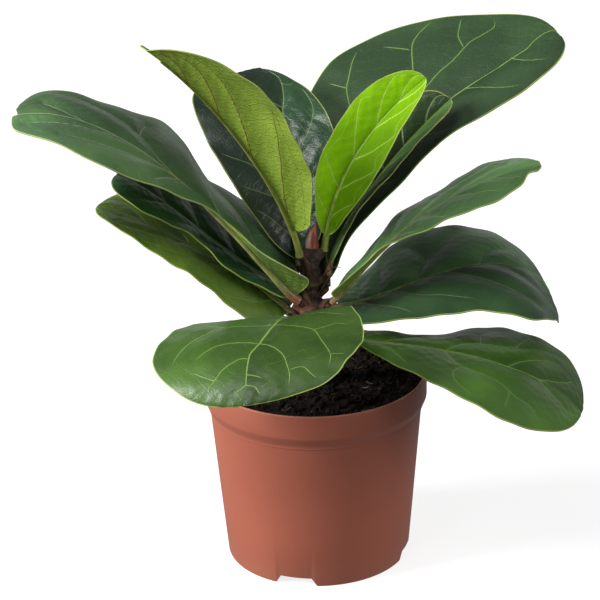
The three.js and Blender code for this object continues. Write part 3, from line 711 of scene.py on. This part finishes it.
def veinMasks(rungStep, leaf):  # how near a point is to the midrib and each kind of vein
    x, y, t = split(attribute("blade")[1])
    place, spacing, edge = split(attribute("veins")[1])
    across, width = split(attribute("span")[1])[:2]
    flat = node("ShaderNodeCombineXYZ", {"X": x, "Y": y})[0]
    if "lines" in leaf:
        beside, weight = split(attribute("lines")[1])[:2]
        lateral = abs(beside) / (weight * 0.20 + 0.20)
        inner = compute("MULTIPLY", weight, 3.0, True)
        loop = 0.0
    else:
        away = abs(place - compute("ROUND", place))
        lateral = away * spacing / (across * -0.34 + 0.55)
        inner = smooth(across, 0.82, 0.92, 1, 0)
        arc = compute("COSINE", place * (2 * math.pi)) * 0.07 + 0.80
        loop = smooth(abs(across - arc) * width, 0.12, 0.40, 1, 0)
    midrib = abs(x) / smooth(t, 0.0, 1.0, 1.35, 0.35)
    end = leaf.get("midribEnd", 1.2)
    bow = abs(compute("SINE", place * math.pi)) * 1.6
    drift = clouds(stretch(flat, (0.16, 0.05, 1)), 1.0, 2) * 9
    lean = math.radians(leaf.get("lean", 45))
    slant = abs(x) * math.cos(lean) + y * math.sin(lean)
    rung = compute("FRACT", (slant + bow + drift) / rungStep)
    net = cells(stretch(flat, (0.42, 0.62, 1)), 1.0, "DISTANCE_TO_EDGE")
    return {
        "midrib": smooth(midrib, 0.55, 1.15, 1, 0) * smooth(t, end - 0.04, end + 0.02, 1, 0),
        "lateral": smooth(lateral, 0.5, 1.3, 1, 0) * inner,
        "halo": smooth(lateral, 0.5, 6.0, 1, 0),
        "loop": loop,
        "rungs": smooth(abs(rung - 0.5) * rungStep, 0.08, 0.34, 1, 0),
        "broken": patches(flat, 0.11, 2, 0.42, 0.58),
        "net": smooth(net, 0.0, 0.12, 1, 0),
        "rim": smooth(edge, 0.25, 0.75, 1, 0),
        "flat": flat, "x": x,
    }


def leafTop(name, leaf):
    newMaterial(name)
    masks = veinMasks(7.5, leaf)
    where = objectPlace()
    cloud = patches(where, 22, 3, 0.35, 0.65)
    color = mix(cloud, leaf["dark"], leaf["light"])
    color = mix(masks["halo"] * 0.30, color, leaf["light"])
    color = mix(masks["net"] * 0.05, color, leaf["vein"])
    paintedLightLeft, paintedLightRight = leaf.get("sides", (1, 1))  # painted light and shade: how much each half's colour is lightened or darkened
    half = mix(smooth(masks["x"], -1.5, 1.5), (paintedLightRight,) * 3, (paintedLightLeft,) * 3)
    # painted light and shade: one half of the blade is made lighter and the other darker
    color = mix(1.0, color, half, "MULTIPLY")
    rungs = masks["rungs"] * masks["broken"] * leaf.get("rungs", 0.18)
    for share in (rungs, masks["loop"] * 0.30, masks["lateral"] * 0.85, masks["midrib"]):
        color = mix(share, color, leaf["vein"])
    rimColor = tuple(0.5 * a + 0.5 * b for a, b in zip(leaf["vein"], (0.42, 0.48, 0.10)))
    color = mix(masks["rim"], color, rimColor)
    glossLeft, glossRight = leaf.get("gloss", (0.38, 0.38))
    gloss = smooth(masks["x"], -1.5, 1.5, glossRight, glossLeft)
    roughness = gloss + patches(where, 60, 4, 0.3, 0.7, 0, 0.10)
    height = clouds(masks["flat"], 0.9, 3) * 0.12
    for key, depth in (("net", 0.06), ("rungs", 0.08), ("loop", 0.08), ("lateral", 0.28), ("midrib", 0.40)):
        height = height - masks[key] * depth
    return shade(Base_Color=color, Roughness=roughness, IOR=1.45,
                 Specular_IOR_Level=leaf.get("shine", 0.4), bump=(height, 0.5))


def leafUnder(name, leaf):
    newMaterial(name)
    masks = veinMasks(3.4, leaf)
    pale = leaf.get("under", tuple(0.55 * part + 0.07 for part in leaf["light"]))
    vein = leaf.get("underVein", tint(pale, 1.7))
    cloud = patches(objectPlace(), 25, 3, 0.35, 0.65)
    color = mix(cloud, tint(pale, 0.82), pale)
    for key, share, tone in (("net", 0.12, tint(pale, 0.6)), ("rungs", 0.22, tint(pale, 0.55)),
                             ("loop", 0.40, vein), ("lateral", 0.8, vein)):
        color = mix(masks[key] * share, color, tone)
    color = mix(masks["rim"], color, (0.34, 0.40, 0.08))
    height = clouds(masks["flat"], 0.8, 3) * 0.3
    for key, depth in (("net", 0.08), ("rungs", 0.45), ("loop", 0.35), ("lateral", 0.8)):
        height = height + masks[key] * depth
    return shade(Base_Color=color, Roughness=0.52, IOR=1.45, Specular_IOR_Level=0.3, bump=(height, 0.6))


def leafRim(name, leaf):
    newMaterial(name)
    patch = patches(objectPlace(), 60, 2, 0.4, 0.6)
    color = tuple(0.4 * a + 0.6 * b for a, b in zip(leaf["vein"], (0.40, 0.46, 0.09)))
    return shade(Base_Color=mix(patch, tint(color, 0.7), color), Roughness=0.45)


def petioleSkin(name, leaf):
    newMaterial(name)
    where = objectPlace()
    run = smooth(attribute("run")[2], 3, 15)
    base = mix(run, leaf.get("petioleBase", (0.15, 0.10, 0.04)), leaf["petioleColor"])
    streak = patches(stretch(where, (1, 1, 0.35)), 320, 3, 0.35, 0.7)
    color = mix(streak, mix(1.0, base, (0.62, 0.62, 0.62), "MULTIPLY"), base)
    fleck = patches(where, 900, 2, 0.62, 0.7, 0, 0.5)
    color = mix(fleck, color, tint(leaf["petioleColor"], 1.6))
    return shade(Base_Color=color, Roughness=0.42, Specular_IOR_Level=0.45,
                 bump=(clouds(where, 700, 3), 0.15))


def makeLeaf(name, leaf):
    rib = Midrib(leaf["path"])
    piece = makeBlade(leaf, rib)
    petiole = makeRib(leaf, rib)
    for label, make in (("Top", leafTop), ("Under", leafUnder), ("Rim", leafRim)):
        piece.data.materials.append(make(name + label, leaf))
    petiole.data.materials.append(petioleSkin(name + "Petiole", leaf))
    modify(piece, "SOLIDIFY", thickness=blade["thickness"] * mm, offset=0, material_offset=1,
           material_offset_rim=2)
    piece.data.attributes.new("run", "FLOAT", "POINT")  # so that the join keeps the petiole's
    joinPieces([piece, petiole])
    dress(piece, name, leaf["node"], 50)


for leafName, leafRow in leaves.items():
    makeLeaf(leafName, leafRow)
print("leaves made:", len(leaves))


# pot

pot = {
    "lipRadius": 60, "height": 105.2, "bandBottom": 92, "shoulderRadius": 57.1, "shoulderHeight": 85.4,
    "footRadius": 49.7, "footWidth": 1.8, "wall": 1.5, "ridge": 0.4, "padRadius": 30, "padSlope": 3,
    "channelHeight": 6, "round": 0.8, "steps": 180, "edgeBevel": 0.22, "notchCount": 4,
    "firstNotch": -15, "notchWidthBelow": 23, "notchWidthAbove": 17, "notchHeight": 5,
    "notchInset": 9, "drainCount": 4, "drainRadius": 3, "drainCircle": 39.5,
}


def coneRadius(height):
    return pot["footRadius"] + (pot["shoulderRadius"] - pot["footRadius"]) * height / pot["shoulderHeight"]


def potProfile():
    wall, ridge, edge = pot["wall"], pot["ridge"], pot["round"]
    lip, top, band = pot["lipRadius"], pot["height"], pot["bandBottom"]
    shoulder, bead = pot["shoulderRadius"], pot["shoulderHeight"]
    foot, pad, slope, channel = pot["footRadius"], pot["padRadius"], pot["padSlope"], pot["channelHeight"]
    inner = lip - wall
    floor = channel + wall
    ring = foot - pot["footWidth"]
    outside = [(0, 0), (pad - 4, 0), (pad, 0), (pad + slope, channel), (ring - wall, channel),
               (ring - edge, 0), (foot - edge, 0), (foot - 0.2, 0.25), (foot, edge),
               (coneRadius(30), 30), (coneRadius(60), 60), (coneRadius(bead - 2), bead - 2),
               (shoulder, bead - ridge), (shoulder + ridge, bead), (shoulder + ridge, bead + ridge),
               (shoulder + 0.35, bead + 1.1), (shoulder + 1.4, bead + 3), (lip - ridge, band - edge),
               (lip - 0.1, band - 0.2), (lip, band + 0.4), (lip, top - edge), (lip - 0.12, top - 0.25),
               (lip - ridge, top)]
    inside = [(inner + ridge, top), (inner + 0.1, top - 0.25), (inner, top - edge), (inner, band + edge),
              (shoulder - wall, bead + edge), (coneRadius(floor + wall) - wall, floor + wall),
              (coneRadius(floor) - 2 * wall, floor), (pad + slope + edge, floor), (pad + edge, wall),
              (0, wall)]
    return outside + inside


def makeCutters():
    cutters = []
    below, above, high = pot["notchWidthBelow"] / 2, pot["notchWidthAbove"] / 2, pot["notchHeight"]
    near, far = pot["footRadius"] - pot["notchInset"], pot["footRadius"] + 5
    for i in range(pot["notchCount"]):
        turn = math.radians(pot["firstNotch"] + 360 * i / pot["notchCount"])
        cutter = newPiece(bpy.ops.mesh.primitive_cube_add, size=2)
        bpy.ops.object.mode_set(mode="EDIT")
        bpy.ops.mesh.bisect(plane_co=(0, 0, -0.6), plane_no=(0, 0, 1))  # level with the ground line
        bpy.ops.object.mode_set(mode="OBJECT")
        for vertex in cutter.data.vertices:
            x, y, z = vertex.co
            half = above if z > 0 else below
            level = high if z > 0 else 0 if z > -0.9 else -1
            vertex.co = Vector((x * half, -(near if y > 0 else far), level)) * mm
        cutter.data.transform(Matrix.Rotation(turn, 4, "Z"))
        cutters.append(cutter)
    for i in range(pot["drainCount"]):
        turn = math.radians(pot["firstNotch"] + 360 * i / pot["drainCount"])
        spot = Vector((math.sin(turn), -math.cos(turn), 0)) * pot["drainCircle"]
        spot.z = pot["channelHeight"]
        cutters.append(newPiece(bpy.ops.mesh.primitive_cylinder_add, vertices=32, location=spot * mm,
                                radius=pot["drainRadius"] * mm, depth=4 * pot["wall"] * mm))
        bpy.ops.object.transform_apply(location=True, rotation=True, scale=True)
    return joinPieces(cutters)


def potPlastic():
    newMaterial("potPlastic")
    where = objectPlace()
    height = split(where)[2]
    cloud = patches(where, 9, 4, 0.3, 0.7)
    color = mix(cloud, (0.330, 0.092, 0.055), (0.375, 0.108, 0.063))
    speck = patches(where, 900, 2, 0.62, 0.72, 0, 0.12)
    color = mix(speck, color, (0.50, 0.22, 0.14))
    # lighter, paler patches towards the bottom of the pot
    lighterBottom = smooth(height, 0.020, 0.0, 0, 0.35) * clouds(where, 70, 5)
    color = mix(lighterBottom, color, (0.42, 0.17, 0.11))
    worn = smooth(height, (pot["height"] - 0.9) * mm, pot["height"] * mm, 0, 0.5)
    color = mix(worn, color, (0.52, 0.20, 0.13))
    roughness = patches(where, 35, 5, 0.3, 0.7, 0.34, 0.44)
    flow = clouds(stretch(where, (1, 1, 0.12)), 45, 3)
    return shade(Base_Color=color, Roughness=roughness, IOR=1.49, Specular_IOR_Level=0.5,
                 bump=(clouds(where, 1400, 2) * 0.35 + flow, 0.06))


def makePot():
    piece = spinProfile(potProfile(), pot["steps"])
    cutters = makeCutters()
    modify(piece, "BOOLEAN", operation="DIFFERENCE", solver="EXACT", object=cutters)
    bpy.data.objects.remove(cutters)
    modify(piece, "BEVEL", width=pot["edgeBevel"] * mm, segments=2, limit_method="ANGLE",
           angle_limit=math.radians(50))
    dress(piece, "pot_moulded", "pot", 35, potPlastic())


makePot()
print("pot made")


# soil

soil = {
    "top": 98.5, "holeRadius": 7.3, "holeBottom": 60, "steps": 150, "rings": 46, "gap": 0.3,
    "swell": 1.3, "crumbs": 900, "fibres": 70, "seed": 4,
}


def soilHeight(x, y):
    broad = noise.noise(Vector((x * 0.055, y * 0.055, 3.1)))
    middle = noise.noise(Vector((x * 0.17, y * 0.17, 8.4)))
    fine = noise.noise(Vector((x * 0.5, y * 0.5, 1.7)))
    return soil["top"] + soil["swell"] * (broad + 0.8 * middle + 0.5 * fine)


def soilMix():
    newMaterial("soilMix")
    where = objectPlace()
    tone = smooth(clouds(where, 140, 6, 0.65), 0.35, 0.7)
    color = mix(tone, (0.0035, 0.0027, 0.0022), (0.015, 0.0095, 0.0065))
    bits = patches(where, 420, 3, 0.60, 0.68)
    color = mix(bits * 0.5, color, (0.050, 0.030, 0.015))
    lumps = cells(where, 330, "F1") + clouds(where, 800, 6, 0.7)
    return shade(Base_Color=color, Roughness=0.92, Specular_IOR_Level=0.12, bump=(lumps, 0.7))


def fibreSkin():
    newMaterial("soilFibre")
    streak = patches(objectPlace(), 300, 3, 0.35, 0.65)
    return shade(Base_Color=mix(streak, (0.028, 0.016, 0.009), (0.100, 0.060, 0.032)), Roughness=0.8)


def makeSoil():
    wall, gap, bead, level = pot["wall"], soil["gap"], pot["shoulderHeight"], soil["top"]
    inside = pot["lipRadius"] - wall - gap
    floor = pot["channelHeight"] + wall + gap
    pad = pot["padRadius"]
    base = [(0, wall + gap), (pad, wall + gap), (pad + pot["padSlope"] + 0.6, floor),
            (coneRadius(floor) - 2 * wall - gap, floor),
            (coneRadius(floor + wall) - wall - gap, floor + wall + gap),
            (coneRadius(bead) - wall - gap, bead + 0.7),
            (inside - 0.1, pot["bandBottom"] + 1.3), (inside, level - 0.6)]
    top = [(float(r), level) for r in np.linspace(inside - 0.6, soil["holeRadius"], soil["rings"])]
    hole = [(soil["holeRadius"], soil["holeBottom"]), (0, soil["holeBottom"])]
    piece = spinProfile(base + top + hole, soil["steps"])
    points = readPoints(piece)
    radius = np.hypot(points[:, 0], points[:, 1])
    for i in np.nonzero((points[:, 2] > level - 0.01) & (radius > soil["holeRadius"] + 0.05))[0]:
        points[i, 2] = soilHeight(points[i, 0], points[i, 1])
    writePoints(piece, points)
    dress(piece, "soil_bed", "soil", 80, soilMix())


def spotOnSoil(draw, margin):
    outer = pot["lipRadius"] - pot["wall"] - margin
    inner = soil["holeRadius"] + margin
    radius = math.sqrt(draw.uniform(inner**2, outer**2))
    angle = draw.uniform(0, 2 * math.pi)
    x, y = radius * math.cos(angle), radius * math.sin(angle)
    return x, y, soilHeight(x, y)


def makeCrumbs():
    draw = random.Random(soil["seed"])
    pattern = newPiece(bpy.ops.mesh.primitive_ico_sphere_add, subdivisions=1, radius=mm)
    crumbs = []
    for i in range(soil["crumbs"]):
        crumb = pattern.copy()
        crumb.data = pattern.data.copy()
        bpy.context.collection.objects.link(crumb)
        size = draw.choice((0.5, 0.7, 0.9, 1.3, 1.9))
        x, y, z = spotOnSoil(draw, 3)
        shape = [draw.uniform(0.6, 1.2) * size for axis in range(3)]
        turn = Matrix.Rotation(draw.uniform(0, 6.28), 4, Vector([draw.uniform(-1, 1) for axis in range(3)]))
        place = Matrix.Translation(Vector((x, y, z + 0.15 * size)) * mm)
        crumb.data.transform(place @ turn @ Matrix.Diagonal((*shape, 1)))
        crumbs.append(crumb)
    bpy.data.objects.remove(pattern)
    dress(joinPieces(crumbs), "soil_crumbs", None, 20, soilMix())


def makeFibres():
    draw = random.Random(soil["seed"] + 1)
    fibres = []
    for i in range(soil["fibres"]):
        x, y = spotOnSoil(draw, 8)[:2]
        heading = draw.uniform(0, 6.28)
        length, bow = draw.uniform(2.5, 7), draw.uniform(-1.5, 1.5)
        radius = draw.choice((0.16, 0.22, 0.35, 0.5))
        path = []
        for share in np.linspace(-0.5, 0.5, 6):
            along, aside = share * length, bow * (0.25 - share * share)
            px = x + along * math.cos(heading) - aside * math.sin(heading)
            py = y + along * math.sin(heading) + aside * math.cos(heading)
            path.append((px, py, soilHeight(px, py) + 0.1 + radius))
        fibres.append(tube(path, [radius * 0.6, radius, radius, radius, radius, radius * 0.5], 0))
    dress(joinPieces(fibres), "soil_fibres", None, 60, fibreSkin())


makeSoil()
makeCrumbs()
makeFibres()
print("soil made")


# stem and bud

stem = {
    # place of the axis and its radius
    "points": [(0, 0, 60.3, 7.0), (0, 0, 92, 7.0), (0, 0, 104, 6.9), (-0.8, 0, 116, 6.5), (-1.8, 0, 127, 6.9),
               (-2.2, 0, 134, 6.6), (-2.2, 0, 141, 6.9), (-1.6, 0, 148, 5.5), (-1.3, 0, 155, 5.6),
               (-1.2, 0, 163, 4.9), (-1.0, 0, 170, 4.9), (-0.6, 0, 176.2, 4.1)],
    "rings": 130, "cushionRadius": 2.7, "cushionRise": 4, "cushionGap": 0.3, "voxel": 0.55,
    "bark": 0.55, "barkStart": 4, "barkReach": 7.5, "seed": 9,
    # dried sheath: height, direction from the front, length, width, lean
    "flakes": [(122, 30, 9, 7, 14), (138, -75, 9, 10, 32), (140, 60, 11, 7, 20), (147, -35, 12, 8, 12),
               (151, 75, 14, 8, 24), (152, -85, 11, 8, 16), (158, -75, 12, 7, 20), (158, 150, 12, 8, 16),
               (163, -20, 12, 7, 14), (168, -65, 9, 6, 18)],
    "flakeThickness": 0.35,
    # swelling: start, end, radius
    "knuckles": [((-6, -1, 140), (-11.2, -0.5, 143), 3.3), ((-8, -1, 135), (-14.3, -0.5, 137.3), 2.0),
                 ((-5, -2, 155), (-7.5, -2.5, 160), 2.2)],
    "bristle": [(6.0, -2, 161.0), (9.5, -2.5, 164.6), (12, -2.5, 165.8), (14.6, -2.5, 165.0)],
}


def stemAxis(height):  # x, y, z and radius
    rows = np.array(stem["points"], float)
    return [np.interp(height, rows[:, 2], rows[:, k]) for k in range(4)]


def makeStemBody():
    heights = np.linspace(stem["points"][0][2], stem["points"][-1][2], stem["rings"])
    rows = [stemAxis(height) for height in heights]
    parts = [tube([row[:3] for row in rows], [row[3] for row in rows], 6)]
    for leaf in leaves.values():
        rib = Midrib(leaf["path"])
        atStem = np.array([0.0])
        end = rib.at(atStem)[0] - rib.axes(atStem, atStem)[0][0] * stem["cushionGap"]
        root = np.array(stemAxis(end[2] - stem["cushionRise"])[:3])
        share = np.linspace(0, 1, 8)
        radii = stem["cushionRadius"] * (1.05 + 0.15 * np.sin(math.pi * share))
        radii[-1] = stem["cushionRadius"] * 0.93
        parts.append(tube(root + (end - root) * share[:, None], radii))
    for start, end, radius in stem["knuckles"]:
        parts.append(tube([start, end], [radius, radius]))
    piece = joinPieces(parts)
    modify(piece, "REMESH", mode="VOXEL", voxel_size=stem["voxel"] * mm)
    modify(piece, "SMOOTH", iterations=3)
    points, normals = readPoints(piece), readVectors(piece, "normal")
    for i, (x, y, z) in enumerate(points):
        if z < soil["top"] - stem["barkStart"]:
            continue
        rough = noise.fractal(Vector((x * 0.35, y * 0.35, z * 0.22)), 0.8, 2.0, 4)
        ring = math.sin(z * 0.9 + 2 * noise.noise(Vector((x * 0.2, y * 0.2, z * 0.1))))
        reach = math.hypot(x - stemAxis(z)[0], y)
        fade = min(1, max(0, 1 - (reach - stem["barkReach"]) / 3))
        points[i] += normals[i] * fade * stem["bark"] * (rough - 0.25 + 0.22 * ring)
    writePoints(piece, points)
    return piece


def makeFlake(row, draw):
    height, direction, length, width, lean = row
    flake = newPiece(bpy.ops.mesh.primitive_grid_add, x_subdivisions=10, y_subdivisions=16, size=2 * mm)
    grid = readPoints(flake)
    x, y = grid[:, 0], (grid[:, 1] + 1) / 2
    narrow = np.clip(1 - y, 0, 1) ** 0.6
    jag = 0.10 * np.sin(11 * y + 3 * draw.random()) * y
    across = x * (0.5 * width * narrow + 0.15) + 0.5 * width * jag
    centre = stemAxis(height)
    radius = centre[3]
    lean, turn = math.radians(lean), math.radians(direction)
    out = y * length * math.sin(lean) + 0.8 * y**3
    up = y * length * math.cos(lean) * (1 - 0.12 * np.abs(np.sin(2.5 * x + 9 * draw.random())))
    front = radius + 0.15 - across**2 / (2 * radius + 1) + out
    writePoints(flake, np.stack([centre[0] + front * math.sin(turn) + across * math.cos(turn),
                                 centre[1] - front * math.cos(turn) + across * math.sin(turn),
                                 height - 1 + up], axis=1))
    modify(flake, "SOLIDIFY", thickness=stem["flakeThickness"] * mm, offset=0)
    return flake


def barkSkin():
    newMaterial("bark")
    where = objectPlace()
    height = split(where)[2]
    mottled = smooth(clouds(where, 260, 6, 0.65), 0.35, 0.65)
    color = mix(mottled, (0.012, 0.007, 0.005), (0.060, 0.036, 0.024))
    scar = smooth(clouds(where, 150, 4, 0.6), 0.44, 0.57)
    low = smooth(height, 0.118, 0.126) * smooth(height, 0.157, 0.146)
    color = mix(scar * (low * 0.65), color, (0.24, 0.085, 0.055))
    flecks = patches(where, 700, 3, 0.62, 0.70, 0, 0.5)
    color = mix(flecks, color, (0.16, 0.10, 0.065))
    ring = smooth(height, 0.1553, 0.1560) * smooth(height, 0.1578, 0.1571)
    color = mix(ring * 0.4, color, (0.070, 0.110, 0.025))
    grain = clouds(stretch(where, (1, 1, 0.5)), 600, 6, 0.7)
    return shade(Base_Color=color, Roughness=0.75, Specular_IOR_Level=0.3, bump=(grain, 0.5))


def drySheath():
    newMaterial("drySheath")
    grain = stretch(objectPlace(), (1, 1, 0.2))
    streak = patches(grain, 420, 4, 0.35, 0.65)
    return shade(Base_Color=mix(streak, (0.03, 0.015, 0.01), (0.125, 0.06, 0.038)), Roughness=0.7,
                 bump=(clouds(grain, 800, 3), 0.3))


def makeStem():
    draw = random.Random(stem["seed"])
    body = makeStemBody()
    body.data.materials.append(barkSkin())
    sheath = drySheath()
    flakes = [makeFlake(row, draw) for row in stem["flakes"]]
    flakes.append(tube(stem["bristle"], [0.6, 0.4, 0.3, 0.15], 2))
    for flake in flakes:
        flake.data.materials.append(sheath)
    dress(joinPieces([body, *flakes]), "stem_bark", "stem", 70)


bud = {
    "base": (-0.4, 0, 176.5), "tip": (2, 0, 189.5), "radius": 3.7, "tipRadius": 0.25, "taper": 1.4,
    "bow": 0.9, "steps": 26,
}


def budSkin():
    newMaterial("budSheath")
    where = objectPlace()
    grain = stretch(where, (1, 1, 0.15))
    streak = patches(grain, 500, 3, 0.35, 0.65)
    red = mix(streak, (0.120, 0.028, 0.016), (0.330, 0.085, 0.045))
    pale = mix(streak, (0.110, 0.060, 0.045), (0.270, 0.160, 0.130))
    wander = split(where)[0] + clouds(where, 200, 3) * 0.002
    color = mix(smooth(wander, -0.0008, 0.0012), pale, red)
    return shade(Base_Color=color, Roughness=0.5, Specular_IOR_Level=0.4, bump=(clouds(grain, 900, 3), 0.25))


def makeBud():
    base, tip = np.array(bud["base"], float), np.array(bud["tip"], float)
    share = np.linspace(0, 1, bud["steps"])
    arch = np.sin(math.pi * share)
    line = base + (tip - base) * share[:, None]
    line[:, 0] -= bud["bow"] * arch
    radii = bud["radius"] * (1 - share ** bud["taper"]) + bud["tipRadius"]
    core = tube(line, radii * 0.94, 6)
    scale = tube(line + np.array([0.35, -0.5, 0]) * arch[:, None], radii * 0.90, 6)
    dress(joinPieces([core, scale]), "bud", "bud_sheath", 50, budSkin())


makeStem()
makeBud()
print("stem and bud made")


# camera, floor and lights

view = {"distance": 1300, "elevation": 22.7, "roll": -1.31, "target": (-7.3, 0, 146.0), "lens": 146.7}


def makeCamera():
    lean, roll = math.radians(view["elevation"]), math.radians(view["roll"])
    back = Vector((0, -math.cos(lean), math.sin(lean)))
    rise = Vector((0, math.sin(lean), math.cos(lean)))
    side = Vector((1, 0, 0))
    right = side * math.cos(roll) + rise * math.sin(roll)
    up = rise * math.cos(roll) - side * math.sin(roll)
    spot = (Vector(view["target"]) + back * view["distance"]) * mm
    bpy.ops.object.camera_add()
    camera = bpy.context.object
    camera.matrix_world = Matrix.Translation(spot) @ Matrix((right, up, back)).transposed().to_4x4()
    camera.data.lens = view["lens"]
    camera.data.sensor_width = 36
    camera.data.clip_start = 0.05
    camera.data.clip_end = 30
    bpy.context.scene.camera = camera


lights = {
    "key": {"spot": (-1.95, -0.5, 1.0), "size": (1.0, 1.0), "power": 84},
    "right": {"spot": (1.7, -0.9, 0.8), "size": (1.0, 1.0), "power": 16},
    "top": {"spot": (-0.6, -0.7, 1.7), "size": (0.8, 0.8), "power": 13},
    "backdrop": {"spot": (0.2, 2.2, 0.4), "size": (3.4, 0.6), "power": 5},
}


def makeLights():
    aim = Vector((0, 0, 0.16))
    for name, row in lights.items():
        bpy.ops.object.light_add(type="AREA", location=row["spot"])
        lamp = bpy.context.object
        lamp.name = name
        lamp.rotation_euler = (Vector(row["spot"]) - aim).to_track_quat("Z", "Y").to_euler()
        lamp.data.shape = "RECTANGLE"
        lamp.data.size, lamp.data.size_y = row["size"]
        lamp.data.energy = row["power"]
    world = bpy.data.worlds.new("studio")
    bpy.context.scene.world = world
    world.use_nodes = True
    sky = world.node_tree.nodes["Background"]
    sky.inputs["Color"].default_value = (1, 1, 1, 1)
    sky.inputs["Strength"].default_value = 0.22


def makeFloor():
    floor = newPiece(bpy.ops.mesh.primitive_circle_add, vertices=96, radius=6, fill_type="NGON")
    floor.name = "floor"
    newMaterial("paleFloor")
    floor.data.materials.append(shade(Base_Color=(0.35, 0.35, 0.35, 1), Roughness=0.9, Specular_IOR_Level=0.1,
                                      Emission_Color=(1, 1, 1, 1), Emission_Strength=0.8))
    floor.visible_diffuse = False  # it looks white without lighting the plant from below
    floor.visible_glossy = False


makeCamera()
makeLights()
makeFloor()
bpy.context.scene.view_settings.view_transform = "Standard"
print("camera, lights and floor made")
